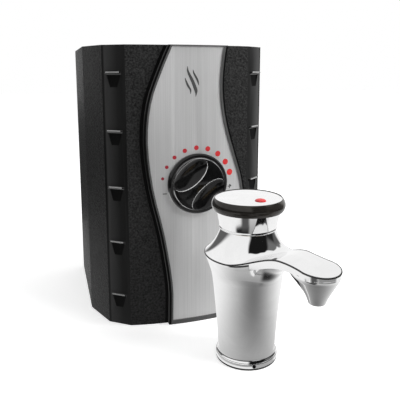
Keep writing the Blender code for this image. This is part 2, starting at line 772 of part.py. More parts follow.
def make_covers(tank):
    front = outline_solid("front_cover", [clipped(case_outline(), 1, high=SEAM_Y)], 0, CASE_HEIGHT)
    inside = clipped(case_outline(CASE_WALL), 1, high=SEAM_Y + OVERRUN)
    inside_high = CASE_HEIGHT - CASE_WALL
    cut(front, keep_cutter(outline_solid("front_hollow", [inside], CASE_WALL, inside_high)))
    places = [(side, height) for side in (-1, 1) for height in ledge_heights()]
    cut(front, keep_cutter(hulls("louvre_pockets", [pocket_corners(*place) for place in places])))
    ledges = keep_cutter(hulls("louvre_ledges", [ledge_corners(*place) for place in places]))
    combine(front, "UNION", ledges)
    for name, upside_down in (("floor_lap", False), ("top_lap", True)):
        combine(front, "UNION", lap(name, upside_down))
    screw_holes = make_screw_holes()
    bushing_hole = cylinder(
        "bushing_hole", BUSHING_RADIUS + GAP, -FRONT_WIDTH / 4, CASE_WALL, PLAIN_STEPS
    )
    keep_cutter(turned_forward(bushing_hole, (DIAL_X, PANEL_FRONT_Y, DIAL_Z)))
    cut(front, screw_holes, bushing_hole)
    keep_piece(front, BLACK_PLASTIC, tank)

    rear_low = SEAM_Y + GAP
    rear = outline_solid("rear_cover", [clipped(case_outline(), 1, low=rear_low)], 0, CASE_HEIGHT)
    inside = clipped(case_outline(CASE_WALL), 1, low=rear_low - OVERRUN)
    cut(rear, keep_cutter(outline_solid("rear_hollow", [inside], CASE_WALL, inside_high)))
    mouth_half = Vector((TRAY_WIDTH / 2 - TRAY_WALL, TRAY_DEPTH / 2 - TRAY_WALL))
    mouth = box(
        "tray_mouth",
        (-mouth_half.x, TRAY_Y - mouth_half.y, inside_high - OVERRUN),
        (mouth_half.x, TRAY_Y + mouth_half.y, CASE_HEIGHT + OVERRUN),
    )
    cut(rear, keep_cutter(mouth), screw_holes, KEYHOLES, GLAND_HOLE, DRAIN_HOLE)
    keep_piece(rear, BLACK_PLASTIC, tank)


def make_shared_holes():
    """Cutters that more than one piece of the tank takes."""
    deep = BACK_Y - CASE_WALL - GAP - PLATE_THICKNESS - OVERRUN
    outlines = [keyhole(side * KEYHOLE_X) for side in (-1, 1)]
    keyholes = keep_cutter(outline_solid("keyholes", outlines, deep, BACK_Y + OVERRUN, along="Y"))
    gland_low = -CASE_WALL - OVERRUN
    gland_hole = keep_cutter(cylinder("gland_hole", GLAND_SHANK + GAP, gland_low, OVERRUN))
    gland_hole.rotation_euler.y = math.pi / 2
    gland_hole.location = (CASE_WIDTH / 2, GLAND_Y, GLAND_Z)
    drain_hole = cylinder(
        "drain_hole", DRAIN_HEAD_RADIUS + GAP, -OVERRUN, CASE_WALL + OVERRUN, SMALL_STEPS
    )
    drain_hole.location = (DRAIN_X, VESSEL_Y, 0)
    return keyholes, gland_hole, keep_cutter(drain_hole)


def make_panel(tank):
    ends = (-OVERRUN, CASE_HEIGHT + OVERRUN)
    trim = bowed_slab("panel_trim", GAP, TRIM_PROUD, *ends)
    depth = (FRONT_Y - FRONT_CROWN - TRIM_PROUD - OVERRUN, FRONT_Y + FRONT_CROWN)
    shape = outline_solid("trim_shape", [panel_outline(TRIM_WIDTH, 0, CASE_HEIGHT)], *depth, "Y")
    combine(trim, "INTERSECT", keep_cutter(shape))
    low, high = PANEL_FOOT, CASE_HEIGHT - PANEL_HEAD_BORDER
    window = [panel_outline(GAP, low - GAP, high + GAP)]
    cut(trim, keep_cutter(outline_solid("trim_window", window, *depth, "Y")))
    keep_piece(trim, GREY_TRIM, tank)

    panel = bowed_slab("front_panel", GAP, PANEL_PROUD, *ends)
    shape = outline_solid("panel_shape", [panel_outline(0, low, high)], *depth, "Y")
    combine(panel, "INTERSECT", keep_cutter(shape))
    cut(panel, bpy.data.objects["bushing_hole"])
    keep_piece(panel, BRUSHED_SILVER, tank)


def make_dial(tank):
    dial_place = (DIAL_X, PANEL_FRONT_Y, DIAL_Z)
    bezel = turned(
        "dial_bezel",
        [
            (BEZEL_BORE, BEZEL_PROUD), (BEZEL_RIM_RADIUS, BEZEL_PROUD),
            (BEZEL_RADIUS, BEZEL_PROUD / 2), (BEZEL_RADIUS, -BEZEL_PROUD), (BEZEL_BORE, -BEZEL_PROUD),
        ],
        FINE_STEPS,
        ring=True,
    )
    turned_forward(bezel, dial_place)
    face = front_arc(PANEL_PROUD + GAP)
    behind = [*face, (face[-1][0], FRONT_Y + FRONT_CROWN), (face[0][0], FRONT_Y + FRONT_CROWN)]
    reach = BEZEL_RADIUS + OVERRUN
    seat = outline_solid("bezel_seat", [behind], DIAL_Z - reach, DIAL_Z + reach)
    cut(bezel, keep_cutter(seat))
    keep_piece(bezel, GLOSS_BLACK, tank)

    knob_front = KNOB_LIFT + KNOB_RIM
    crown = [
        (KNOB_RADIUS * share, knob_front + KNOB_CROWN * (1 - share**2))
        for share in spread(0, 1, 6)[:-1]
    ]
    knob = turned(
        "temperature_knob",
        [*crown, (KNOB_RADIUS - KNOB_EDGE, knob_front), (KNOB_RADIUS, knob_front - KNOB_EDGE),
         (KNOB_RADIUS, KNOB_LIFT), (0, KNOB_LIFT)],
        FINE_STEPS,
    )
    turned_forward(knob, dial_place)
    for hand, name in ((1, "upper_scoop"), (-1, "lower_scoop")):
        scoop = ellipsoid(name, (SCOOP_LENGTH, SCOOP_BREADTH, SCOOP_DEPTH))
        away = KNOB_BAR_TILT + hand * math.pi / 2
        scoop.rotation_euler.z = KNOB_BAR_TILT
        scoop.location = (
            SCOOP_OFFSET * math.cos(away), SCOOP_OFFSET * math.sin(away), knob_front + SCOOP_LIFT
        )
        cut(knob, keep_cutter(scoop, knob))
    shaft_end = KNOB_LIFT + SHAFT_IN_KNOB
    hole = cylinder("shaft_hole", SHAFT_RADIUS + GAP, 0, shaft_end + GAP, SMALL_STEPS)
    cut(knob, keep_cutter(hole, knob))
    keep_piece(knob, GLOSS_BLACK, tank)

    block_front = front_inside_y(DIAL_X + BLOCK_SIDE / 2) + GAP
    block_start = PANEL_FRONT_Y - block_front
    shaft = cylinder(
        "thermostat_shaft", SHAFT_RADIUS, block_start - SHAFT_IN_BLOCK, shaft_end, SMALL_STEPS
    )
    keep_piece(turned_forward(shaft, dial_place), PLATED_STEEL, tank)

    half = BLOCK_SIDE / 2
    block_back = block_front + BLOCK_DEPTH
    block = box(
        "thermostat",
        (DIAL_X - half, block_front, DIAL_Z - half),
        (DIAL_X + half, block_back, DIAL_Z + half),
    )
    bushing = cylinder("bushing", BUSHING_RADIUS, block_start - OVERRUN, 0)
    bore = cylinder(
        "bushing_bore", SHAFT_RADIUS + RUNNING_GAP, block_start - SHAFT_IN_BLOCK - GAP, OVERRUN,
        SMALL_STEPS,
    )
    for helper in (bushing, bore):
        keep_cutter(turned_forward(helper, dial_place))
    combine(block, "UNION", bushing)
    cut(block, bore)
    keep_piece(block, DARK_RESIN, tank)

    probe_start = block_back + GAP
    nearest_x = max(abs(DIAL_X) - PROBE_RADIUS, 0)
    vessel_front = VESSEL_Y - math.sqrt(VESSEL_RADIUS**2 - nearest_x**2)
    probe = cylinder("sensor_probe", PROBE_RADIUS, GAP, vessel_front - probe_start, SMALL_STEPS)
    keep_piece(turned_forward(probe, (DIAL_X, vessel_front, DIAL_Z)), COPPER, tank)


def ellipsoid(name, radii):
    shape = bmesh.new()
    bmesh.ops.create_uvsphere(shape, u_segments=PLAIN_STEPS, v_segments=PLAIN_STEPS // 2, radius=1)
    bmesh.ops.transform(shape, matrix=Matrix.Diagonal((*radii, 1)), verts=shape.verts)
    mesh = bpy.data.meshes.new(name)
    shape.to_mesh(mesh)
    shape.free()
    return bpy.data.objects.new(name, mesh)


def union_places():
    """Where the three unions and their tubes stand, by name."""
    return {name: UNION_PITCH * (index - 1) for index, name in enumerate(UNION_NAMES)}


def make_vessel(tank):
    axis = (0, VESSEL_Y, 0)
    inner_radius = VESSEL_RADIUS - VESSEL_WALL
    shoulder = VESSEL_SHOULDER
    inner_floor = VESSEL_FLOOR + VESSEL_WALL
    inner_top = VESSEL_TOP - VESSEL_WALL
    hole = PLUG_RADIUS + GAP
    vessel = turned(
        "inner_vessel",
        [
            (0, VESSEL_TOP), (VESSEL_RADIUS - shoulder, VESSEL_TOP),
            (VESSEL_RADIUS, VESSEL_TOP - shoulder), (VESSEL_RADIUS, VESSEL_FLOOR + shoulder),
            (VESSEL_RADIUS - shoulder, VESSEL_FLOOR), (hole, VESSEL_FLOOR), (hole, inner_floor),
            (inner_radius - shoulder, inner_floor), (inner_radius, inner_floor + shoulder),
            (inner_radius, inner_top - shoulder), (inner_radius - shoulder, inner_top),
            (0, inner_top),
        ],
        VESSEL_STEPS,
    )
    vessel.location = axis
    low, high = VESSEL_TOP - VESSEL_SHOULDER, VESSEL_TOP + OVERRUN
    for name, x in union_places().items():
        tube_hole = cylinder(f"{name}_vessel_hole", TUBE_RADIUS + GAP, low, high, SMALL_STEPS)
        tube_hole.location = (x, TRAY_Y, 0)
        cut(vessel, keep_cutter(tube_hole))
    low, high = VESSEL_FLOOR - OVERRUN, VESSEL_FLOOR + 2 * VESSEL_WALL
    tip_hole = cylinder("drain_tip_hole", DRAIN_TIP_RADIUS + GAP, low, high, SMALL_STEPS)
    tip_hole.location = (DRAIN_X, VESSEL_Y, 0)
    cut(vessel, keep_cutter(tip_hole))
    keep_piece(vessel, STAINLESS, tank)

    gasket_top = VESSEL_FLOOR - GAP
    gasket = tube(
        "element_gasket", FLANGE_RADIUS, PLUG_RADIUS + GAP, gasket_top - GASKET_THICKNESS, gasket_top,
        PLAIN_STEPS,
    )
    gasket.location = axis
    keep_piece(gasket, BLACK_RUBBER, tank)
    flange_top = gasket_top - GASKET_THICKNESS - GAP
    plug_top = VESSEL_FLOOR + PLUG_RISE
    flange = turned(
        "element_flange",
        [
            (0, plug_top), (PLUG_RADIUS, plug_top), (PLUG_RADIUS, flange_top),
            (FLANGE_RADIUS, flange_top), (FLANGE_RADIUS, flange_top - FLANGE_THICKNESS),
            (0, flange_top - FLANGE_THICKNESS),
        ],
    )
    flange.location = axis
    keep_piece(flange, STAINLESS, tank)
    foot = plug_top + GAP
    bend = [
        (-ELEMENT_HALF_SPAN * math.cos(turn), 0, ELEMENT_HEIGHT + ELEMENT_HALF_SPAN * math.sin(turn))
        for turn in spread(0, math.pi, ELEMENT_BEND_POINTS)
    ]
    loop = [(-ELEMENT_HALF_SPAN, 0, foot), *bend, (ELEMENT_HALF_SPAN, 0, foot)]
    element = wire("heating_element", loop, ELEMENT_ROD)
    element.location = axis
    keep_piece(element, STAINLESS, tank)

    cutout_neck = CUTOUT_LENGTH - CUTOUT_STEP
    cutout = turned(
        "overheat_cutout",
        [
            (0, CUTOUT_LENGTH), (CUTOUT_RADIUS / 2, CUTOUT_LENGTH), (CUTOUT_RADIUS / 2, cutout_neck),
            (CUTOUT_RADIUS, cutout_neck), (CUTOUT_RADIUS, GAP), (0, GAP),
        ],
        SMALL_STEPS,
    )
    turned_forward(cutout, (0, VESSEL_Y - VESSEL_RADIUS, CUTOUT_Z))
    keep_piece(cutout, DARK_RESIN, tank)


def make_insulation(tank):
    """Two foam halves that fill the case round the vessel."""
    outline = case_outline(CASE_WALL + GAP)
    split = VESSEL_Y - GAP / 2
    front_outline = clipped(outline, 1, FOAM_FRONT_Y, split)
    front = outline_solid("insulation_front", [front_outline], FOAM_LOW, FOAM_HIGH)
    rear_outline = clipped(outline, 1, split + GAP)
    rear = outline_solid("insulation_rear", [rear_outline], FOAM_LOW, FOAM_HIGH)
    low, high = VESSEL_FLOOR - GAP, VESSEL_TOP + GAP
    well = cylinder("vessel_well", VESSEL_RADIUS + 2 * GAP, low, high, VESSEL_STEPS)
    flange_low = FOAM_LOW - OVERRUN
    flange_well = cylinder("flange_well", FLANGE_RADIUS + GAP, flange_low, VESSEL_FLOOR)
    drain_well = cylinder(
        "drain_well", DRAIN_SHANK_RADIUS + GAP, flange_low, VESSEL_FLOOR, SMALL_STEPS
    )
    for cutter, x in ((well, 0), (flange_well, 0), (drain_well, DRAIN_X)):
        keep_cutter(cutter).location = (x, VESSEL_Y, 0)
        cut(front, cutter)
        cut(rear, cutter)
    for name, x in union_places().items():
        union_well = cylinder(
            f"{name}_well", UNION_SHANK + GAP, VESSEL_TOP, FOAM_HIGH + OVERRUN, SMALL_STEPS
        )
        keep_cutter(union_well).location = (x, TRAY_Y, 0)
        cut(rear, union_well)
    room = VESSEL_RADIUS / 2
    for name, radius, x, z in (
        ("cutout_well", CUTOUT_RADIUS, 0, CUTOUT_Z), ("probe_well", PROBE_RADIUS, DIAL_X, DIAL_Z)
    ):
        hole = cylinder(name, radius + GAP, -room, FOAM_FRONT + OVERRUN, SMALL_STEPS)
        keep_cutter(turned_forward(hole, (x, VESSEL_Y - VESSEL_RADIUS, z)))
        cut(front, hole)
    inside_y = BACK_Y - CASE_WALL
    half = Vector((PLATE_WIDTH / 2 + GAP, 0, PLATE_HEIGHT / 2 + GAP))
    plate_room = box(
        "plate_room",
        (-half.x, inside_y - 2 * GAP - PLATE_THICKNESS, PLATE_Z - half.z),
        (half.x, inside_y + OVERRUN, PLATE_Z + half.z),
    )
    low = PLATE_Z - KEYHOLE_DROP - KEYHOLE_RADIUS
    high = PLATE_Z - KEYHOLE_DROP + KEYHOLE_RISE + KEYHOLE_RADIUS
    head_outlines = []
    for side in (-1, 1):
        left, right = side * KEYHOLE_X - KEYHOLE_RADIUS, side * KEYHOLE_X + KEYHOLE_RADIUS
        head_outlines.append([(left, low), (right, low), (right, high), (left, high)])
    head_room = outline_solid(
        "head_room", head_outlines, inside_y - KEYHOLE_HEAD_ROOM, inside_y + OVERRUN, along="Y"
    )
    gland_room = cylinder("gland_room", GLAND_LIP + GAP, -3 * GLAND_LIP_THICKNESS, 0)
    gland_room.rotation_euler.y = math.pi / 2
    gland_room.location = (CASE_WIDTH / 2, GLAND_Y, GLAND_Z)
    cut(rear, keep_cutter(plate_room), keep_cutter(head_room), keep_cutter(gland_room))
    keep_piece(front, WHITE_FOAM, tank)
    keep_piece(rear, WHITE_FOAM, tank)


def make_fittings(tank):
    half = Vector((TRAY_WIDTH / 2, TRAY_DEPTH / 2))
    tray_low = TRAY_TOP - TRAY_HEIGHT
    tray = box(
        "fittings_tray", (-half.x, TRAY_Y - half.y, tray_low), (half.x, TRAY_Y + half.y, TRAY_TOP)
    )
    hollow = box(
        "tray_hollow",
        (TRAY_WALL - half.x, TRAY_Y - half.y + TRAY_WALL, TRAY_FLOOR),
        (half.x - TRAY_WALL, TRAY_Y + half.y - TRAY_WALL, TRAY_TOP + OVERRUN),
    )
    cut(tray, keep_cutter(hollow))
    seat = TRAY_FLOOR + GAP
    neck = seat + UNION_FLANGE_THICKNESS
    lip = UNION_TOP - UNION_LIP_THICKNESS
    bore = TUBE_RADIUS + GAP
    tube_names = dict(zip(UNION_NAMES, ("dip_tube", "vent_tube", "outlet_tube")))
    for name, x in union_places().items():
        hole = cylinder(
            f"{name}_hole", UNION_SHANK + GAP, tray_low - OVERRUN, TRAY_FLOOR + OVERRUN, SMALL_STEPS
        )
        hole.location = (x, TRAY_Y, 0)
        cut(tray, keep_cutter(hole))
        union = turned(
            name,
            [
                (bore, UNION_TOP), (UNION_LIP, UNION_TOP), (UNION_LIP, lip), (UNION_BODY, lip),
                (UNION_BODY, neck), (UNION_FLANGE, neck), (UNION_FLANGE, seat), (UNION_SHANK, seat),
                (UNION_SHANK, seat - UNION_SHANK_LENGTH), (bore, seat - UNION_SHANK_LENGTH),
            ],
            SMALL_STEPS,
            ring=True,
        )
        union.location = (x, TRAY_Y, 0)
        keep_piece(union, BRASS if name != "vent_fitting" else DARK_RESIN, tank)
        low = VESSEL_TOP - SHORT_TUBE_REACH
        if name == "inlet_fitting":
            low = VESSEL_FLOOR + DIP_CLEARANCE
        riser = tube(tube_names[name], TUBE_RADIUS, TUBE_BORE, low, UNION_TOP + TUBE_STAND)
        riser.location = (x, TRAY_Y, 0)
        keep_piece(riser, STAINLESS, tank)
    keep_piece(tray, BLACK_PLASTIC, tank)


def make_services(tank):
    """The drain, the terminal block, the cord gland and the hanger plate."""
    shoulder = VESSEL_FLOOR - GAP - SEAL_THICKNESS - GAP
    tip_top = VESSEL_FLOOR + DRAIN_TIP_RISE
    head_top = DRAIN_RECESS + DRAIN_HEAD_THICKNESS
    plug = turned(
        "drain_plug",
        [
            (0, tip_top), (DRAIN_TIP_RADIUS, tip_top), (DRAIN_TIP_RADIUS, shoulder),
            (DRAIN_SHANK_RADIUS, shoulder), (DRAIN_SHANK_RADIUS, head_top),
            (DRAIN_HEAD_RADIUS, head_top), (DRAIN_HEAD_RADIUS, DRAIN_RECESS), (0, DRAIN_RECESS),
        ],
        SMALL_STEPS,
    )
    seal = tube(
        "drain_seal", DRAIN_SHANK_RADIUS, DRAIN_TIP_RADIUS + GAP, shoulder + GAP, VESSEL_FLOOR - GAP
    )
    for piece, material in ((plug, BRASS), (seal, BLACK_RUBBER)):
        piece.location = (DRAIN_X, VESSEL_Y, 0)
        keep_piece(piece, material, tank)

    length, depth, height = TERMINAL_SIZE
    back = FOAM_FRONT_Y - TERMINAL_FROM_FOAM
    floor = CASE_WALL + GAP
    block = box(
        "terminal_block",
        (TERMINAL_X - length / 2, back - depth, floor),
        (TERMINAL_X + length / 2, back, floor + height),
    )
    bevel = block.modifiers.new("Bevel", "BEVEL")
    bevel.width = TERMINAL_ROUNDING
    bevel.segments = 1
    keep_piece(block, DARK_RESIN, tank)

    flange_top = GAP + GLAND_FLANGE_THICKNESS
    lip_top = -CASE_WALL - GAP
    gland = turned(
        "cord_gland",
        [
            (GLAND_BORE, flange_top + GLAND_NOSE_LENGTH), (GLAND_NOSE, flange_top + GLAND_NOSE_LENGTH),
            (GLAND_SHANK, flange_top), (GLAND_FLANGE, flange_top), (GLAND_FLANGE, GAP),
            (GLAND_SHANK, GAP), (GLAND_SHANK, lip_top), (GLAND_LIP, lip_top),
            (GLAND_LIP, lip_top - GLAND_LIP_THICKNESS), (GLAND_BORE, lip_top - GLAND_LIP_THICKNESS),
        ],
        PLAIN_STEPS,
        ring=True,
    )
    gland.rotation_euler.y = math.pi / 2
    gland.location = (CASE_WIDTH / 2, GLAND_Y, GLAND_Z)
    keep_piece(gland, BLACK_RUBBER, tank)

    plate_back = BACK_Y - CASE_WALL - GAP
    plate = box(
        "hanger_plate",
        (-PLATE_WIDTH / 2, plate_back - PLATE_THICKNESS, PLATE_Z - PLATE_HEIGHT / 2),
        (PLATE_WIDTH / 2, plate_back, PLATE_Z + PLATE_HEIGHT / 2),
    )
    cut(plate, KEYHOLES)
    keep_piece(plate, PLATED_STEEL, tank)


def spout_side():
    """One side of the spout in plan, from the tip round to the shoulder, as a Bezier curve."""
    start = Vector((SPOUT_REACH, SPOUT_TIP_RADIUS))
    turn = SPOUT_NECK_TURN
    end = Vector((SHOULDER_RADIUS * math.cos(turn), SHOULDER_RADIUS * math.sin(turn)))
    first = start - Vector((SIDE_PULL, SIDE_WAIST))
    second = end + SHOULDER_PULL * Vector((math.sin(turn), -math.cos(turn)))
    points = []
    for share in spread(0, 1, SIDE_STATIONS):
        rest = 1 - share
        points.append(
            start * rest**3 + first * 3 * rest**2 * share + second * 3 * rest * share**2 + end * share**3
        )
    return points


def rim_half():
    """The rim of the spout and shoulder in plan, from the tip round one side to the back."""
    tip = [
        Vector((SPOUT_REACH + SPOUT_TIP_RADIUS * math.cos(turn), SPOUT_TIP_RADIUS * math.sin(turn)))
        for turn in spread(0, math.pi / 2, TIP_STATIONS)
    ]
    back = [
        Vector((SHOULDER_RADIUS * math.cos(turn), SHOULDER_RADIUS * math.sin(turn)))
        for turn in spread(SPOUT_NECK_TURN, math.pi, BACK_STATIONS)
    ]
    return tip[:-1] + spout_side()[:-1] + back


def rim_stations():
    """Each station is its rim point and the direction that its circles take, all the way round."""
    half = rim_half()
    front_count = TIP_STATIONS + SIDE_STATIONS
    turns = spread(0, SPOUT_NECK_TURN, front_count)[:-1]
    turns += spread(SPOUT_NECK_TURN, math.pi, BACK_STATIONS)
    one_side = list(zip(half, turns))
    other_side = [(Vector((rim.x, -rim.y)), -turn) for rim, turn in one_side[1:-1]]
    return one_side + other_side[::-1]


def side_width(reach):
    """Half the spout's width in plan at a reach from the axis."""
    half = rim_half()
    for outer, inner in zip(half, half[1:]):
        if inner.x <= reach <= outer.x and outer.x > inner.x:
            share = (outer.x - reach) / (outer.x - inner.x)
            return outer.y + (inner.y - outer.y) * share
    return SHOULDER_RADIUS


def rim_height(reach):
    """Height of the rim: level round the back, rising to the spout's peak and dipping to its tip."""
    if reach < SPOUT_PEAK_REACH:
        return SHOULDER_HEIGHT + SPOUT_SWELL * smooth_step(reach, SPOUT_SWELL_START, SPOUT_PEAK_REACH)
    tip = SPOUT_REACH + SPOUT_TIP_RADIUS
    past_peak = (reach - SPOUT_PEAK_REACH) / (tip - SPOUT_PEAK_REACH)
    return SHOULDER_HEIGHT + SPOUT_SWELL - SPOUT_DIP * past_peak**2


def nearness_to_rim(reach, aside):
    """0 on the spout's middle line and 1 on its rim."""
    if reach > SPOUT_REACH:
        return min(math.hypot(reach - SPOUT_REACH, aside) / SPOUT_TIP_RADIUS, 1)
    return min(abs(aside) / side_width(reach), 1)


def top_height(reach, aside, share, run):
    """Height of the upper surface, share of the way from the neck to the rim."""
    crown = SPOUT_CROWN * smooth_step(reach, CROWN_START, CROWN_FULL)
    crown += (SPOUT_TIP_CROWN - SPOUT_CROWN) * smooth_step(reach, SPOUT_PEAK_REACH, SPOUT_REACH)
    base = rim_height(reach) + crown * (1 - nearness_to_rim(reach, aside) ** 2)
    ahead = smooth_step(reach, AHEAD_START, AHEAD_FULL)
    length = NECK_FLARE + (NECK_FLARE_AHEAD - NECK_FLARE) * ahead
    last = math.exp(-run / length)
    flare = (math.exp(-share * run / length) - last) / (1 - last)
    return base + (NECK_HEIGHT - base) * flare


def under_height(reach, aside, share, spout_share):
    """Height of the lower surface, share of the way from the column to the rim."""
    rim = rim_height(reach) - EDGE_LAND
    flare = JOIN_HEIGHT + (rim - JOIN_HEIGHT) * share**UNDER_FLARE_BEND
    away = math.hypot(reach, aside) - JOIN_RADIUS
    arch = SPOUT_UNDERSIDE - (SPOUT_UNDERSIDE - JOIN_HEIGHT) * math.exp(-away / SPOUT_ARCH)
    side_foot = rim - SIDE_DROP_SHARE * (rim - arch)
    belly = arch + (side_foot - arch) * nearness_to_rim(reach, aside) ** 2
    return flare + (belly - flare) * spout_share


def spout_middle(reach):
    """A point halfway between the spout's upper and lower surfaces, on its centre line."""
    run = SPOUT_REACH + SPOUT_TIP_RADIUS - NECK_RADIUS
    high = top_height(reach, 0, (reach - NECK_RADIUS) / run, run)
    return reach, 0, (high + under_height(reach, 0, 1, 1)) / 2


def body_rings():
    """Rings of the cast body from its top face down to its foot."""
    stations = rim_stations()

    def circle(radius, height):
        return [(radius * math.cos(turn), radius * math.sin(turn), height) for _, turn in stations]

    def between(radius, ring_share, first_step, last_step, height_of):
        """A ring part of the way from a circle to the rim. Rings lie close together by the circle."""
        ring = []
        for rim, turn in stations:
            start = Vector((radius * math.cos(turn), radius * math.sin(turn)))
            run = (rim - start).length
            bend = math.log((run - last_step) / first_step) / math.log(1 / ring_share[0])
            share = (1 - last_step / run) * ring_share[1] ** bend
            place = start.lerp(rim, share)
            ring.append((place.x, place.y, height_of(place, share, run, turn)))
        return ring

    def top(place, share, run, turn):
        return top_height(place.x, place.y, share, run)

    def under(place, share, run, turn):
        spout_share = 1 - smooth_step(abs(turn), SPOUT_NECK_TURN / 2, SPOUT_MERGE_TURN)
        return under_height(place.x, place.y, share, spout_share)

    top_shares = spread(0, 1, TOP_RINGS)[1:-1]
    under_shares = spread(0, 1, UNDER_RINGS)[:0:-1]
    rings = [circle(NECK_RADIUS, NECK_HEIGHT)]
    rings += [
        between(NECK_RADIUS, (top_shares[0], share), TOP_FIRST_STEP, 0, top) for share in top_shares
    ]
    rings.append([(rim.x, rim.y, rim_height(rim.x)) for rim, _ in stations])
    rings.append([(rim.x, rim.y, rim_height(rim.x) - EDGE_LAND) for rim, _ in stations])
    rings += [
        between(JOIN_RADIUS, (under_shares[-1], share), UNDER_FIRST_STEP, UNDER_LAST_STEP, under)
        for share in under_shares
    ]
    rings += [
        circle(JOIN_RADIUS, JOIN_HEIGHT), circle(BODY_UPPER_RADIUS, BODY_UPPER_HEIGHT),
        circle(BODY_MIDDLE_RADIUS, BODY_MIDDLE_HEIGHT), circle(BODY_WAIST_RADIUS, BODY_WAIST_HEIGHT),
        circle(BODY_WAIST_RADIUS, BODY_FOOT + 2 * BODY_FLARE_HEIGHT),
        circle(BODY_FLARE_RADIUS, BODY_FOOT),
    ]
    return rings


def loft(name, rings):
    """A closed skin through rings of as many points each, capped at both ends."""
    shape = bmesh.new()
    rows = [[shape.verts.new(place) for place in ring] for ring in rings]
    for upper, lower in zip(rows, rows[1:]):
        for index in range(len(upper)):
            after = (index + 1) % len(upper)
            shape.faces.new((upper[index], lower[index], lower[after], upper[after]))
    shape.faces.new(rows[0])
    shape.faces.new(rows[-1][::-1])
    bmesh.ops.triangulate(shape, faces=shape.faces)
    bmesh.ops.recalc_face_normals(shape, faces=shape.faces)
    mesh = bpy.data.meshes.new(name)
    shape.to_mesh(mesh)
    shape.free()
    return bpy.data.objects.new(name, mesh)


def make_faucet_body(faucet):
    body = loft("faucet_body", body_rings())
    body.parent = faucet
    beak = [
        (SPOUT_TIP_RADIUS * across, MOUTH_HEIGHT + BEAK_HEIGHT * up) for up, across in BEAK_SHARES
    ]
    beak_solid = turned(
        "beak", [(0, beak[0][1]), *beak, (MOUTH_RADIUS, MOUTH_HEIGHT), (0, MOUTH_HEIGHT)]
    )
    beak_solid.location.x = SPOUT_REACH
    combine(body, "UNION", keep_cutter(beak_solid, faucet))

    cartridge_bore = CARTRIDGE_RADIUS + GAP
    seat_bore = WATER_TUBE_CIRCLE + WATER_TUBE_RADIUS + 2 * GAP
    hollow = turned(
        "body_hollow",
        [
            (0, NECK_HEIGHT + OVERRUN), (cartridge_bore, NECK_HEIGHT + OVERRUN),
            (cartridge_bore, CARTRIDGE_SEAT), (seat_bore, CARTRIDGE_SEAT),
            (seat_bore, CARTRIDGE_SEAT - CARTRIDGE_SEAT_DEPTH),
            (BODY_UPPER_RADIUS - BODY_WALL, BODY_UPPER_HEIGHT),
            (BODY_MIDDLE_RADIUS - BODY_WALL, BODY_MIDDLE_HEIGHT),
            (BODY_WAIST_RADIUS - BODY_WALL, BODY_WAIST_HEIGHT),
            (BODY_WAIST_RADIUS - BODY_WALL, BODY_FOOT - OVERRUN), (0, BODY_FOOT - OVERRUN),
        ],
    )
    cut(body, keep_cutter(hollow, faucet))
    bend_x = SPOUT_REACH - CHANNEL_BEND
    rise = spread(JOIN_RADIUS + CHANNEL_LEAD, bend_x, CHANNEL_RISE_POINTS)
    bend_z = spout_middle(bend_x)[2]
    bend = [
        (bend_x + CHANNEL_BEND * math.sin(turn), 0, bend_z - CHANNEL_BEND * (1 - math.cos(turn)))
        for turn in spread(0, math.pi / 2, CHANNEL_BEND_POINTS)
    ]
    route = [
        (CARTRIDGE_RADIUS, 0, CARTRIDGE_SEAT + GAP + CHANNEL_RADIUS),
        *[spout_middle(reach) for reach in rise[:-1]], *bend,
        (SPOUT_REACH, 0, MOUTH_HEIGHT - OVERRUN),
    ]
    channel_mesh = mesh_of(wire("channel", route, CHANNEL_RADIUS))
    channel = keep_cutter(bpy.data.objects.new("channel", channel_mesh), faucet)
    insert_foot = MOUTH_HEIGHT + INSERT_SINK
    mouth = cylinder(
        "mouth_bore", INSERT_RADIUS + GAP, MOUTH_HEIGHT - OVERRUN, insert_foot + INSERT_LENGTH + GAP,
        SMALL_STEPS,
    )
    mouth.location.x = SPOUT_REACH
    cut(body, channel, keep_cutter(mouth, faucet))
    keep_piece(body, CHROME, faucet)
    insert = tube(
        "outlet_insert", INSERT_RADIUS, INSERT_BORE, insert_foot, insert_foot + INSERT_LENGTH
    )
    insert.location.x = SPOUT_REACH
    keep_piece(insert, DARK_RESIN, faucet)


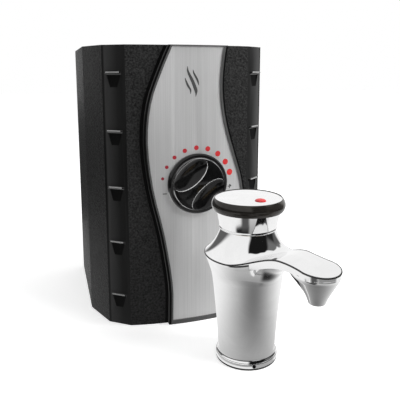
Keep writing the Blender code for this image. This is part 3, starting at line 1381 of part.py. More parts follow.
def make_faucet_foot(faucet):
    gasket = tube(
        "deck_gasket", DECK_GASKET_RADIUS, DECK_GASKET_BORE, 0, DECK_GASKET_THICKNESS, FINE_STEPS
    )
    keep_piece(gasket, BLACK_RUBBER, faucet)
    ring = turned(
        "base_ring",
        [
            (RING_BORE, RING_TOP), (RING_TOP_RADIUS - RING_EDGE, RING_TOP),
            (RING_TOP_RADIUS, RING_TOP - RING_EDGE), (RING_RADIUS, RING_FOOT + RING_EDGE),
            (RING_TOP_RADIUS, RING_FOOT), (RING_BORE, RING_FOOT),
        ],
        FINE_STEPS,
        ring=True,
    )
    hole_reach = RING_RADIUS - GRUB_SINK - GRUB_LENGTH - GAP
    hole = cylinder("grub_hole", GRUB_RADIUS + GAP, hole_reach, RING_RADIUS + OVERRUN, SMALL_STEPS)
    screw = cylinder(
        "base_screw", GRUB_RADIUS, hole_reach + GAP, RING_RADIUS - GRUB_SINK, SMALL_STEPS
    )
    for piece in (hole, screw):
        piece.rotation_euler = (0, math.pi / 2, GRUB_TURN)
        piece.location.z = (RING_FOOT + RING_TOP) / 2
    cut(ring, keep_cutter(hole, faucet))
    keep_piece(ring, CHROME, faucet)
    keep_piece(screw, PLATED_STEEL, faucet)

    plate = cylinder("tube_plate", RING_BORE - GAP, RING_FOOT, RING_TOP, PLAIN_STEPS)
    for name, turn in FAUCET_TUBE_TURNS.items():
        place = (WATER_TUBE_CIRCLE * math.cos(turn), WATER_TUBE_CIRCLE * math.sin(turn), 0)
        low, high = RING_FOOT - OVERRUN, RING_TOP + OVERRUN
        hole = cylinder(f"{name}_hole", WATER_TUBE_RADIUS + GAP, low, high, SMALL_STEPS)
        hole.location = place
        cut(plate, keep_cutter(hole, faucet))
        pipe = tube(name, WATER_TUBE_RADIUS, WATER_TUBE_BORE, RING_FOOT, CARTRIDGE_FOOT - GAP)
        pipe.location = place
        keep_piece(pipe, COPPER, faucet)
    keep_piece(plate, BRASS, faucet)


def make_valve(faucet, button):
    stem_bore = STEM_RADIUS + RUNNING_GAP
    bore_floor = STEM_TOP - STEM_LENGTH - BUTTON_STROKE - STEM_END_ROOM
    seal_room = STEM_SEAL_RADIUS + GAP
    seal_floor = CARTRIDGE_TOP - STEM_SEAL_THICKNESS - 2 * GAP
    cartridge = turned(
        "valve_cartridge",
        [
            (0, bore_floor), (stem_bore, bore_floor), (stem_bore, seal_floor), (seal_room, seal_floor),
            (seal_room, CARTRIDGE_TOP), (CARTRIDGE_NOSE_RADIUS, CARTRIDGE_TOP),
            (CARTRIDGE_NOSE_RADIUS, CARTRIDGE_SHOULDER), (CARTRIDGE_RADIUS, CARTRIDGE_SHOULDER),
            (CARTRIDGE_RADIUS, CARTRIDGE_FOOT), (0, CARTRIDGE_FOOT),
        ],
        SMALL_STEPS,
    )
    keep_piece(cartridge, BRASS, faucet)
    seal_low = seal_floor + GAP
    seal = tube("stem_seal", STEM_SEAL_RADIUS, stem_bore, seal_low, seal_low + STEM_SEAL_THICKNESS)
    keep_piece(seal, BLACK_RUBBER, faucet)

    nut_low = CARTRIDGE_SHOULDER + GAP
    nut = cylinder("cartridge_nut", NUT_RADIUS, nut_low, nut_low + NUT_THICKNESS, NUT_SIDES)
    nut_bore = cylinder(
        "nut_bore", CARTRIDGE_NOSE_RADIUS + GAP, nut_low - OVERRUN, nut_low + NUT_THICKNESS + OVERRUN,
        SMALL_STEPS,
    )
    cut(nut, keep_cutter(nut_bore, faucet))
    keep_piece(nut, BRASS, faucet)

    head_low = STEM_TOP - STEM_HEAD_THICKNESS
    stem = turned(
        "valve_stem",
        [
            (0, STEM_TOP), (STEM_HEAD_RADIUS, STEM_TOP), (STEM_HEAD_RADIUS, head_low),
            (STEM_RADIUS, head_low), (STEM_RADIUS, STEM_TOP - STEM_LENGTH),
            (0, STEM_TOP - STEM_LENGTH),
        ],
        SMALL_STEPS,
    )
    keep_piece(stem, STAINLESS, button)
    low = CARTRIDGE_TOP + GAP + SPRING_WIRE
    high = head_low - GAP - SPRING_WIRE
    coil = []
    for share in spread(0, 1, SPRING_TURNS * SPRING_TURN_POINTS):
        turn = math.tau * SPRING_TURNS * share
        coil.append(
            (SPRING_RADIUS * math.cos(turn), SPRING_RADIUS * math.sin(turn), low + (high - low) * share)
        )
    keep_piece(wire("return_spring", coil, SPRING_WIRE, resolution=1), PLATED_STEEL, button)


def make_collar(faucet):
    """The cup under the button. Its floor is clamped on the neck by the cartridge's nut."""
    hole = CARTRIDGE_RADIUS + GAP
    bead = COLLAR_FOOT_RADIUS + COLLAR_BEAD
    floor_top = COLLAR_FOOT + COLLAR_FLOOR - GAP
    collar = turned(
        "collar",
        [
            (COLLAR_TOP_RADIUS - COLLAR_WALL, COLLAR_TOP), (COLLAR_TOP_RADIUS, COLLAR_TOP),
            (COLLAR_FOOT_RADIUS, COLLAR_FOOT + COLLAR_BEAD_HEIGHT),
            (bead, COLLAR_FOOT + COLLAR_BEAD_HEIGHT - COLLAR_BEAD), (bead, COLLAR_FOOT + COLLAR_BEAD),
            (COLLAR_FOOT_RADIUS, COLLAR_FOOT), (hole, COLLAR_FOOT), (hole, floor_top),
            (COLLAR_FOOT_RADIUS - COLLAR_WALL, floor_top),
        ],
        FINE_STEPS,
        ring=True,
    )
    keep_piece(collar, CHROME, faucet)


def make_button(button):
    """The cap with its dark bulging band, the bright disc in its top and the red dot in the disc."""
    disc_low = CAP_TOP + DISC_RISE - DISC_THICKNESS
    plate_top = disc_low - GAP
    recess = DISC_RADIUS + GAP
    band = []
    for share in spread(0, 1, CAP_BULGE_POINTS):
        radius = CAP_TOP_RADIUS + (CAP_FOOT_RADIUS - CAP_TOP_RADIUS) * share
        radius += CAP_BULGE * 4 * share * (1 - share)
        band.append((radius, CAP_TOP + (CAP_FOOT - CAP_TOP) * share))
    cap = turned(
        "button_cap",
        [
            (0, plate_top), (recess, plate_top), (recess, CAP_TOP), *band, (CAP_BORE, CAP_FOOT),
            (CAP_BORE, CAP_CEILING), (0, CAP_CEILING),
        ],
        FINE_STEPS,
    )
    keep_piece(cap, SMOKED_CHROME, button)
    disc = turned(
        "button_disc",
        [
            (0, disc_low + DISC_THICKNESS), (DISC_RADIUS - DISC_EDGE, disc_low + DISC_THICKNESS),
            (DISC_RADIUS, disc_low + DISC_THICKNESS - DISC_EDGE), (DISC_RADIUS, disc_low),
            (0, disc_low),
        ],
        FINE_STEPS,
    )
    high = disc_low + DISC_THICKNESS
    dot_hole = cylinder("dot_hole", DOT_RADIUS + GAP, disc_low - OVERRUN, high + OVERRUN)
    dot_hole.location.x = DOT_REACH
    cut(disc, keep_cutter(dot_hole, button))
    keep_piece(disc, SATIN_CHROME, button)
    dot = cylinder("button_dot", DOT_RADIUS, disc_low, high + DOT_RISE)
    dot.location.x = DOT_REACH
    keep_piece(dot, RED_ENAMEL, button)


clear_scene()
PIECES = new_collection("instant_hot_water_dispenser")
CUTTERS = new_collection("cutters")

BLACK_PLASTIC = new_material("black_plastic", (0.035, 0.035, 0.036), 0.5)
GREY_TRIM = new_material("grey_trim", (0.16, 0.16, 0.165), 0.4, 0.3)
BRUSHED_SILVER = new_material("brushed_silver", (0.62, 0.62, 0.63), 0.35, 1)
GLOSS_BLACK = new_material("gloss_black", (0.01, 0.01, 0.011), 0.08)
DARK_RESIN = new_material("dark_resin", (0.08, 0.08, 0.085), 0.5)
PLATED_STEEL = new_material("plated_steel", (0.55, 0.55, 0.56), 0.3, 1)
STAINLESS = new_material("stainless_steel", (0.6, 0.6, 0.6), 0.3, 1)
COPPER = new_material("copper", (0.72, 0.36, 0.22), 0.3, 1)
BRASS = new_material("brass", (0.75, 0.58, 0.27), 0.3, 1)
BLACK_RUBBER = new_material("black_rubber", (0.02, 0.02, 0.02), 0.8)
WHITE_FOAM = new_material("white_foam", (0.86, 0.86, 0.85), 0.9)
CHROME = new_material("chrome", (0.8, 0.8, 0.81), 0.06, 1)
SATIN_CHROME = new_material("satin_chrome", (0.86, 0.86, 0.87), 0.15, 1)
SMOKED_CHROME = new_material("smoked_chrome", (0.09, 0.085, 0.08), 0.12, 1)
RED_ENAMEL = new_material("red_enamel", (0.7, 0.03, 0.03), 0.3)

TANK = new_empty("tank")
KEYHOLES, GLAND_HOLE, DRAIN_HOLE = make_shared_holes()
make_covers(TANK)
make_screws(TANK)
make_panel(TANK)
make_dial(TANK)
make_vessel(TANK)
make_insulation(TANK)
make_fittings(TANK)
make_services(TANK)

FAUCET = new_empty("faucet", (FAUCET_X, FAUCET_Y, 0), SPOUT_TURN)
BUTTON = new_empty("button")
BUTTON.parent = FAUCET
make_faucet_body(FAUCET)
make_faucet_foot(FAUCET)
make_valve(FAUCET, BUTTON)
make_collar(FAUCET)
make_button(BUTTON)
bpy.context.view_layer.update()
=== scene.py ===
import bisect
import json
import math

import bmesh
import bpy
from mathutils import Matrix, Vector


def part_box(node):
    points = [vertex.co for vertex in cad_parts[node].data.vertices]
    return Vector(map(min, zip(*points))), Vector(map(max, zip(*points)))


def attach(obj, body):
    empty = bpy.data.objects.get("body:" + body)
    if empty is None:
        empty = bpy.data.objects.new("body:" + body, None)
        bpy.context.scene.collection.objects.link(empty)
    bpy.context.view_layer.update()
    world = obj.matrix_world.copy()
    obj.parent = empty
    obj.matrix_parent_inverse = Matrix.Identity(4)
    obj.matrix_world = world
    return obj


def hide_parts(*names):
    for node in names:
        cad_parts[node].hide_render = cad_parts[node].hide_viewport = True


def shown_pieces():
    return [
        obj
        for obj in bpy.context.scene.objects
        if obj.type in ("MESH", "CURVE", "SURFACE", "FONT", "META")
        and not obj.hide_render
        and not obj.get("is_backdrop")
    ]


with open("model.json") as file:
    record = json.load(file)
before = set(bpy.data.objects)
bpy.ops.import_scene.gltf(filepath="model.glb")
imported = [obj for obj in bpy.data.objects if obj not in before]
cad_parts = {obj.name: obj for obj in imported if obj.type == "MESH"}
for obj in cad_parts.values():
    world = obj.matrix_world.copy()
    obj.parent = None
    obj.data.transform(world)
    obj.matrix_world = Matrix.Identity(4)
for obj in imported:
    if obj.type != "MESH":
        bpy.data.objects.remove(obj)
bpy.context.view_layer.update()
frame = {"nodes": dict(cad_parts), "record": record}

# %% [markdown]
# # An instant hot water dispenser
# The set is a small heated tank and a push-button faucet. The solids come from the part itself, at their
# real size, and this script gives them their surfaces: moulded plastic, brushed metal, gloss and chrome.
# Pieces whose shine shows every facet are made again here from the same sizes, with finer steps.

NODES = frame["nodes"]
MM = 0.001

# %% [markdown]
# ## The camera
# The photograph joins two views, one of the tank and one of the faucet from higher up. One camera between
# the two keeps both pieces where the photograph has them. It looks down by nine degrees from the left, and
# a lens shift moves the picture up without leaning the uprights any further.

# %% Camera
CAMERA_PLACE = (-0.13755, -0.57062, 0.2639)
LOOK_DOWN = 9.33
LOOK_RIGHT = 17.27
LENS_LENGTH = 44
SENSOR_WIDTH = 36
LENS_SHIFT = -0.12
NEAREST_SEEN = 0.02

camera_data = bpy.data.cameras.new("camera")
camera_data.lens = LENS_LENGTH
camera_data.sensor_width = SENSOR_WIDTH
camera_data.shift_y = LENS_SHIFT
camera_data.clip_start = NEAREST_SEEN
camera = bpy.data.objects.new("camera", camera_data)
camera.location = CAMERA_PLACE
camera.rotation_euler = (math.radians(90 - LOOK_DOWN), 0, math.radians(-LOOK_RIGHT))
bpy.context.scene.collection.objects.link(camera)
bpy.context.scene.camera = camera
bpy.context.scene.view_settings.view_transform = "Standard"
print("the camera looks down by", LOOK_DOWN, "degrees")

# %% [markdown]
# ## Wiring materials
# Every material starts as a Principled shader. These helpers add a node, join two sockets and set the
# values that stay the same all over a surface, so that each finish below reads as a short recipe.

# %% Helpers for nodes
def add_node(tree, kind, **settings):
    """Adds a node. Settings with a socket's name set that socket, and others set the node itself."""
    node = tree.nodes.new(kind)
    for name, value in settings.items():
        if hasattr(node, name):
            setattr(node, name, value)
        else:
            node.inputs[name.replace("_", " ")].default_value = value
    return node


def join(tree, source, output, target, socket):
    tree.links.new(source.outputs[output], target.inputs[socket])


def new_finish(name, color, roughness, metallic=0.0, **sockets):
    """A material with a Principled shader. The other values go to the sockets of their names."""
    material = bpy.data.materials.new(name)
    material.use_nodes = True
    shader = material.node_tree.nodes["Principled BSDF"]
    shader.inputs["Base Color"].default_value = (*color, 1)
    shader.inputs["Roughness"].default_value = roughness
    shader.inputs["Metallic"].default_value = metallic
    for socket, value in sockets.items():
        shader.inputs[socket.replace("_", " ")].default_value = value
    return material, material.node_tree, shader


# %% [markdown]
# ## Shared effects
# Three effects come back on many pieces: the grain of moulded plastic, the lines of brushed or drawn
# metal, and the handling marks that vary a surface's gloss. Each is a node group, built once.

# %% Making a node group
def new_group(name, inputs, outputs):
    """An empty node group. Sockets are (name, type, default)."""
    group = bpy.data.node_groups.new(name, "ShaderNodeTree")
    for socket, kind, default in inputs:
        made = group.interface.new_socket(name=socket, in_out="INPUT", socket_type=kind)
        made.default_value = default
    for socket, kind in outputs:
        group.interface.new_socket(name=socket, in_out="OUTPUT", socket_type=kind)
    return group, group.nodes.new("NodeGroupInput"), group.nodes.new("NodeGroupOutput")


# The sockets of a Mix node share their names, one set for each type, so they are picked by number.
MIX_FACTOR, VALUE_A, VALUE_B, COLOR_A, COLOR_B = 0, 2, 3, 6, 7
MIXED_VALUE, MIXED_COLOR = 0, 2


def mixed_colors(group, factor, source, target):
    """Mixes the group's two colour inputs by a factor and puts the result out."""
    mix = add_node(group, "ShaderNodeMix", data_type="RGBA")
    group.links.new(factor, mix.inputs[MIX_FACTOR])
    group.links.new(source.outputs["Dark"], mix.inputs[COLOR_A])
    group.links.new(source.outputs["Light"], mix.inputs[COLOR_B])
    group.links.new(mix.outputs[MIXED_COLOR], target.inputs["Color"])


def spread_value(group, factor, source, low, high, target, output):
    """Maps a 0 to 1 factor onto the span between two inputs of the group."""
    span = add_node(group, "ShaderNodeMapRange")
    group.links.new(factor, span.inputs["Value"])
    group.links.new(source.outputs[low], span.inputs["To Min"])
    group.links.new(source.outputs[high], span.inputs["To Max"])
    group.links.new(span.outputs["Result"], target.inputs[output])


# %% [markdown]
# Moulded plastic takes the grain of its mould: fine pits, over a slow drift where the melt cooled
# unevenly. Two noise textures of very different scale give both. Their mix sets the colour, the slow one
# sets the gloss, and the fine one gives the height that a Bump node presses into the surface.

# %% Moulded grain
def make_moulded_grain():
    """Fine pits over a slow drift, for moulded plastic and foam."""
    group, given, result = new_group(
        "moulded_grain",
        [
            ("Dark", "NodeSocketColor", (0, 0, 0, 1)), ("Light", "NodeSocketColor", (1, 1, 1, 1)),
            ("Grain Scale", "NodeSocketFloat", 1800), ("Drift Scale", "NodeSocketFloat", 14),
            ("Smoothest", "NodeSocketFloat", 0.4), ("Roughest", "NodeSocketFloat", 0.6),
            ("Speckle", "NodeSocketFloat", 0.3),
        ],
        [("Color", "NodeSocketColor"), ("Roughness", "NodeSocketFloat"), ("Height", "NodeSocketFloat")],
    )
    place = add_node(group, "ShaderNodeTexCoord")
    grain = add_node(group, "ShaderNodeTexNoise", Detail=3, Roughness=0.6)
    drift = add_node(group, "ShaderNodeTexNoise", Detail=4, Roughness=0.5)
    for node, scale in ((grain, "Grain Scale"), (drift, "Drift Scale")):
        join(group, place, "Object", node, "Vector")
        join(group, given, scale, node, "Scale")
    pits = add_node(group, "ShaderNodeMapRange", From_Min=0.34, From_Max=0.66)
    join(group, grain, "Fac", pits, "Value")
    blend = add_node(group, "ShaderNodeMix", data_type="FLOAT")
    join(group, given, "Speckle", blend, MIX_FACTOR)
    join(group, drift, "Fac", blend, VALUE_A)
    join(group, pits, "Result", blend, VALUE_B)
    mixed_colors(group, blend.outputs[MIXED_VALUE], given, result)
    spread_value(group, drift.outputs["Fac"], given, "Smoothest", "Roughest", result, "Roughness")
    join(group, grain, "Fac", result, "Height")
    return group


MOULDED_GRAIN = make_moulded_grain()
print("made the group", MOULDED_GRAIN.name)

# %% [markdown]
# Brushing and drawing leave scratches that all run one way. A noise texture whose coordinates are
# stretched along one axis gives such lines, and the stretch is an input, so that each metal sets its own.

# %% Drawn lines
def make_drawn_lines():
    """Long fine scratches along one axis, as brushing or drawing leaves in metal."""
    group, given, result = new_group(
        "drawn_lines",
        [
            ("Dark", "NodeSocketColor", (0, 0, 0, 1)), ("Light", "NodeSocketColor", (1, 1, 1, 1)),
            ("Lines", "NodeSocketVector", (900, 900, 12)), ("Smoothest", "NodeSocketFloat", 0.25),
            ("Roughest", "NodeSocketFloat", 0.45),
        ],
        [("Color", "NodeSocketColor"), ("Roughness", "NodeSocketFloat"), ("Height", "NodeSocketFloat")],
    )
    place = add_node(group, "ShaderNodeTexCoord")
    stretch = add_node(group, "ShaderNodeVectorMath", operation="MULTIPLY")
    join(group, place, "Object", stretch, 0)
    join(group, given, "Lines", stretch, 1)
    lines = add_node(group, "ShaderNodeTexNoise", Scale=1, Detail=5, Roughness=0.7)
    join(group, stretch, "Vector", lines, "Vector")
    mixed_colors(group, lines.outputs["Fac"], given, result)
    spread_value(group, lines.outputs["Fac"], given, "Smoothest", "Roughest", result, "Roughness")
    join(group, lines, "Fac", result, "Height")
    return group


DRAWN_LINES = make_drawn_lines()
print("made the group", DRAWN_LINES.name)

# %% [markdown]
# Nothing that is touched stays evenly glossy. A distorted noise with a hard ramp leaves clean areas and
# faint smears between them, which keeps chrome and gloss black from looking computed.

# %% Handling marks
SMEAR_SPAN = (0.42, 0.72)


def make_handling_marks():
    """Faint smears and dust that vary the gloss of a shiny piece."""
    group, given, result = new_group(
        "handling_marks",
        [
            ("Dark", "NodeSocketColor", (0, 0, 0, 1)), ("Light", "NodeSocketColor", (1, 1, 1, 1)),
            ("Smear Scale", "NodeSocketFloat", 40), ("Smoothest", "NodeSocketFloat", 0.05),
            ("Roughest", "NodeSocketFloat", 0.15),
        ],
        [("Color", "NodeSocketColor"), ("Roughness", "NodeSocketFloat"), ("Mask", "NodeSocketFloat")],
    )
    place = add_node(group, "ShaderNodeTexCoord")
    smear = add_node(group, "ShaderNodeTexNoise", Detail=5, Roughness=0.65, Distortion=0.8)
    join(group, place, "Object", smear, "Vector")
    join(group, given, "Smear Scale", smear, "Scale")
    ramp = add_node(group, "ShaderNodeValToRGB")
    clean, smeared = ramp.color_ramp.elements
    clean.position, smeared.position = SMEAR_SPAN
    join(group, smear, "Fac", ramp, "Fac")
    mixed_colors(group, ramp.outputs["Color"], given, result)
    spread_value(group, ramp.outputs["Color"], given, "Smoothest", "Roughest", result, "Roughness")
    join(group, ramp, "Color", result, "Mask")
    return group


HANDLING_MARKS = make_handling_marks()
print("made the group", HANDLING_MARKS.name)

# %% [markdown]
# A finish places one of the groups in its material and lets the group drive the colour and the gloss.
# Grain and lines also press into the surface through a Bump node, whose distance is a real depth.

# %% Placing a group in a material
def place_group(finish, group, dark, light, depth=0.0, **values):
    """Feeds a group's colour and roughness to the shader, and with a depth its height to a Bump."""
    material, tree, shader = finish
    node = tree.nodes.new("ShaderNodeGroup")
    node.node_tree = group
    node.inputs["Dark"].default_value = (*dark, 1)
    node.inputs["Light"].default_value = (*light, 1)
    for name, value in values.items():
        node.inputs[name.replace("_", " ")].default_value = value
    join(tree, node, "Color", shader, "Base Color")
    join(tree, node, "Roughness", shader, "Roughness")
    if depth:
        bump = add_node(tree, "ShaderNodeBump", Strength=1.0, Distance=depth)
        join(tree, node, "Height", bump, "Height")
        join(tree, bump, "Normal", shader, "Normal")
    return material


def grey(level):
    return (level, level, level)


# %% [markdown]
# ## The finishes
# The case is black plastic with a fine moulded texture, which turns highlights into a soft sheen. The
# panel is silver with lines brushed from top to bottom. The dial is gloss black, with almost no texture.

# %% Plastics, rubber and foam
CASE_BLACK = place_group(
    new_finish("case_black", grey(0.022), 0.45, Specular_IOR_Level=0.07), MOULDED_GRAIN, grey(0.004),
    grey(0.044), depth=1.6 * MM, Grain_Scale=520, Drift_Scale=12, Smoothest=0.42, Roughest=0.52,
    Speckle=0.75,
)
# Painted shadow: deep black for the pockets, the trim's shaded side, the band outside it and the set
# screw.
SHADOW_BLACK = place_group(
    new_finish("shadow_black", grey(0.004), 0.6, Specular_IOR_Level=0.05), MOULDED_GRAIN,
    grey(0.002), grey(0.006), Grain_Scale=520, Smoothest=0.55, Roughest=0.7,
)
# Painted highlight: light grey for the bright line along each ledge's front edge.
PAINTED_LEDGE_HIGHLIGHT = place_group(
    new_finish("painted_ledge_highlight", grey(0.3), 0.35), MOULDED_GRAIN, grey(0.2), grey(0.4),
    Grain_Scale=900, Smoothest=0.3, Roughest=0.45,
)
TRIM_GREY = place_group(
    new_finish("trim_grey", grey(0.1), 0.35, Specular_IOR_Level=0.3), MOULDED_GRAIN, grey(0.06), grey(0.1),
    depth=0.02 * MM, Grain_Scale=2200, Smoothest=0.3, Roughest=0.42,
)
RESIN = place_group(
    new_finish("dark_resin", grey(0.07), 0.5), MOULDED_GRAIN, grey(0.05), grey(0.09),
    depth=0.03 * MM, Grain_Scale=1600, Smoothest=0.42, Roughest=0.6,
)
RUBBER = place_group(
    new_finish("black_rubber", grey(0.02), 0.7), MOULDED_GRAIN, grey(0.014), grey(0.028),
    depth=0.04 * MM, Grain_Scale=1200, Smoothest=0.62, Roughest=0.85,
)
FOAM = place_group(
    new_finish("white_foam", grey(0.8), 0.9), MOULDED_GRAIN, grey(0.7), grey(0.84),
    depth=0.4 * MM, Grain_Scale=260, Smoothest=0.85, Roughest=1.0,
)
GLOSS_BLACK = place_group(
    new_finish("gloss_black", grey(0.006), 0.1, Specular_IOR_Level=0.28),
    HANDLING_MARKS, grey(0.005), grey(0.009), Smear_Scale=60, Smoothest=0.07, Roughest=0.13,
)
RED_ENAMEL = place_group(
    new_finish("red_enamel", (0.62, 0.03, 0.03), 0.3), HANDLING_MARKS, (0.6, 0.025, 0.03),
    (0.68, 0.05, 0.045), Smear_Scale=900, Smoothest=0.22, Roughest=0.34,
)
print(len(bpy.data.materials), "finishes of plastic, rubber, foam and enamel")

# %% [markdown]
# A metal keeps a plain Metallic of 1 and is told apart by its colour, its gloss and its lines: brushed on
# the panel, drawn on tubes, turned on brass, and only smears on chrome. The silver panel and the smoked
# band are films over another material, so they are less metallic. The rim's lip gets darkened chrome, a
# painted dark reflection, and the knob's ridges a pale metal, a painted highlight.

# %% Metals
PANEL_SILVER = place_group(
    new_finish("panel_silver", grey(0.6), 0.4, metallic=0.4), DRAWN_LINES, grey(0.46), grey(0.74),
    depth=0.01 * MM, Lines=(1100, 1100, 6), Smoothest=0.34, Roughest=0.5,
)
PLATED_STEEL = place_group(
    new_finish("plated_steel", grey(0.5), 0.3, metallic=1), DRAWN_LINES, grey(0.42), grey(0.6),
    depth=0.01 * MM, Lines=(500, 500, 500), Smoothest=0.26, Roughest=0.42,
)
STAINLESS = place_group(
    new_finish("stainless_steel", grey(0.6), 0.3, metallic=1), DRAWN_LINES, grey(0.5), grey(0.66),
    depth=0.01 * MM, Lines=(30, 30, 900), Smoothest=0.22, Roughest=0.38,
)
COPPER = place_group(
    new_finish("copper", (0.72, 0.36, 0.22), 0.3, metallic=1), DRAWN_LINES, (0.6, 0.27, 0.16),
    (0.78, 0.42, 0.28), depth=0.01 * MM, Lines=(700, 700, 30), Smoothest=0.22, Roughest=0.4,
)
BRASS = place_group(
    new_finish("brass", (0.75, 0.55, 0.25), 0.3, metallic=1), DRAWN_LINES, (0.6, 0.42, 0.17),
    (0.8, 0.62, 0.32), depth=0.01 * MM, Lines=(60, 60, 1200), Smoothest=0.2, Roughest=0.36,
)
CHROME = place_group(
    new_finish("chrome", grey(0.86), 0.06, metallic=1), HANDLING_MARKS, grey(0.84), grey(0.9),
    Smear_Scale=30, Smoothest=0.04, Roughest=0.09,
)
DISC_CHROME = place_group(
    new_finish("disc_chrome", grey(0.9), 0.16, metallic=1), HANDLING_MARKS, grey(0.88), grey(0.94),
    Smear_Scale=50, Smoothest=0.12, Roughest=0.2,
)
SMOKED_CHROME = place_group(
    new_finish("smoked_chrome", (0.045, 0.042, 0.038), 0.12, metallic=0.3, Specular_IOR_Level=0.35),
    HANDLING_MARKS, (0.02, 0.018, 0.016), (0.04, 0.036, 0.03), Smear_Scale=45, Smoothest=0.08,
    Roughest=0.16,
)
# Painted dark reflection: darkened chrome for the rim's lip, so that it shows a dark outline.
PAINTED_DARK_LIP_CHROME = place_group(
    new_finish("painted_dark_lip_chrome", grey(0.1), 0.25, metallic=1), HANDLING_MARKS, grey(0.06), grey(0.12),
    Smear_Scale=60, Smoothest=0.2, Roughest=0.3,
)
# Painted highlight: pale metal for the bright line where the knob's scoops meet the dome.
PAINTED_RIDGE_HIGHLIGHT = place_group(
    new_finish("painted_ridge_highlight", grey(0.9), 0.3, metallic=1), HANDLING_MARKS, grey(0.8), grey(0.95),
    Smear_Scale=60, Smoothest=0.24, Roughest=0.34,
)
print(len(bpy.data.materials), "finishes with the metals")

# %% [markdown]
# Each solid of the part gets the finish of its own material slot, so that nothing inside is left plain
# either: the vessel, foam, valve and tubes show when the set is taken apart.

# %% Finishes on the part's own solids
FINISH_OF_SLOT = {
    "black_plastic": CASE_BLACK, "grey_trim": TRIM_GREY, "brushed_silver": PANEL_SILVER,
    "gloss_black": GLOSS_BLACK, "dark_resin": RESIN, "plated_steel": PLATED_STEEL,
    "stainless_steel": STAINLESS, "copper": COPPER, "brass": BRASS, "black_rubber": RUBBER,
    "white_foam": FOAM, "chrome": CHROME, "satin_chrome": DISC_CHROME,
    "smoked_chrome": SMOKED_CHROME, "red_enamel": RED_ENAMEL,
}
SLOT_OF_NODE = {entry["node"]: entry["material_slot"] for entry in frame["record"]["subparts"]}
for name, node in NODES.items():
    node.data.materials.clear()
    node.data.materials.append(FINISH_OF_SLOT[SLOT_OF_NODE[name]])
# The set screw gets the painted shadow finish, so that it reads as a dark notch in the ring.
NODES["base_screw"].data.materials[0] = SHADOW_BLACK
print(len(NODES), "solids have a finish, the set screw a black one")

# %% [markdown]
# ## Making pieces
# A finer piece takes the place of a solid: it rides on the same body, takes the finish of the solid's
# slot, and the solid is hidden. Its shading is smooth except where two faces meet at a real edge.

# %% Helpers for pieces
BODY_OF_NODE = {
    name: body for body, members in frame["record"]["behaviour"]["bodies"].items() for name in members
}
EDGE_ANGLE = math.radians(32)


def link(piece):
    """Puts an object in the scene, unless it is there already."""
    if piece.name not in bpy.context.scene.collection.objects:
        bpy.context.scene.collection.objects.link(piece)


def piece_from(shape, name):
    """Makes an object of a bmesh, which is freed."""
    mesh = bpy.data.meshes.new(name)
    shape.to_mesh(mesh)
    shape.free()
    return bpy.data.objects.new(name, mesh)


def finished(piece, finish):
    """Puts a piece in the scene with its finish and its shading."""
    link(piece)
    piece.data.materials.clear()
    piece.data.materials.append(finish)
    piece.data.shade_smooth()
    piece.data.set_sharp_from_angle(angle=EDGE_ANGLE)


def dress(piece, node):
    """Puts a piece in the scene in place of a solid of the part."""
    finished(piece, FINISH_OF_SLOT[SLOT_OF_NODE[node]])
    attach(piece, BODY_OF_NODE[node])
    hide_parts(node)
    return piece


def add_detail(piece, body, finish):
    """Puts a small extra piece on a body."""
    finished(piece, finish)
    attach(piece, body)
    return piece


# %% [markdown]
# ## Softened edges
# A moulded shell has no knife edges. The covers, tray, trim and panel are copied from their solids,
# their flat faces are merged again, and a Bevel modifier rounds what is left, which catches the light.

# %% Rounding the edges of the covers, trim and panel
FLAT_ANGLE = math.radians(0.6)
WELD_REACH = 0.01 * MM
ROUNDED_ANGLE = math.radians(16)
ROUNDING_STEPS = 2
SOFT_EDGES = {
    "front_cover": 0.7 * MM, "rear_cover": 0.9 * MM, "fittings_tray": 0.5 * MM,
    "panel_trim": 0.5 * MM, "front_panel": 0.3 * MM,
}


def baked(piece):
    """The piece with its modifiers applied."""
    link(piece)
    graph = bpy.context.evaluated_depsgraph_get()
    mesh = bpy.data.meshes.new_from_object(piece.evaluated_get(graph))
    piece.modifiers.clear()
    piece.data = mesh
    return piece


def softened(node, width):
    """A copy of a solid with its edges rounded."""
    shape = bmesh.new()
    shape.from_mesh(NODES[node].data)
    bmesh.ops.remove_doubles(shape, verts=shape.verts, dist=WELD_REACH)
    bmesh.ops.dissolve_limit(shape, angle_limit=FLAT_ANGLE, verts=shape.verts, edges=shape.edges)
    piece = piece_from(shape, f"{node}_soft")
    bevel = piece.modifiers.new("rounding", "BEVEL")
    bevel.width = width
    bevel.segments = ROUNDING_STEPS
    bevel.limit_method = "ANGLE"
    bevel.angle_limit = ROUNDED_ANGLE
    bevel.use_clamp_overlap = True
    return baked(piece)


SOFT_PIECES = {name: dress(softened(name, width), name) for name, width in SOFT_EDGES.items()}
for name, piece in SOFT_PIECES.items():
    print(name, "has", len(piece.data.polygons), "faces")

# %% [markdown]
# ## Columns, ledges and the painted shadow round the trim
# The two slanted columns beside the front are smoother than the front, and they carry painted shade that
# makes them darker than the front. Five ledges stand on each. To find the faces of a column, points are
# measured along it and out from it, and the same two lengths place the details that are added to it.

# %% Column sizes
FRONT_WIDTH = 128.4 * MM
COLUMN_RUN = 20.6 * MM
COLUMN_DEPTH = 15.4 * MM
LEDGE_COUNT = 5
LEDGE_LOWEST = 34 * MM
LEDGE_HIGHEST = 264 * MM
LEDGE_LENGTH = 18 * MM
LEDGE_REACH = 2.6 * MM
POCKET_HEIGHT = 15 * MM
FRONT_CROWN = 7 * MM
FRONT_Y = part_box("front_cover")[0].y + FRONT_CROWN


def spread(first, last, count):
    """Evenly spaced values from first to last, both ends included, count steps apart."""
    return [first + (last - first) * index / count for index in range(count + 1)]


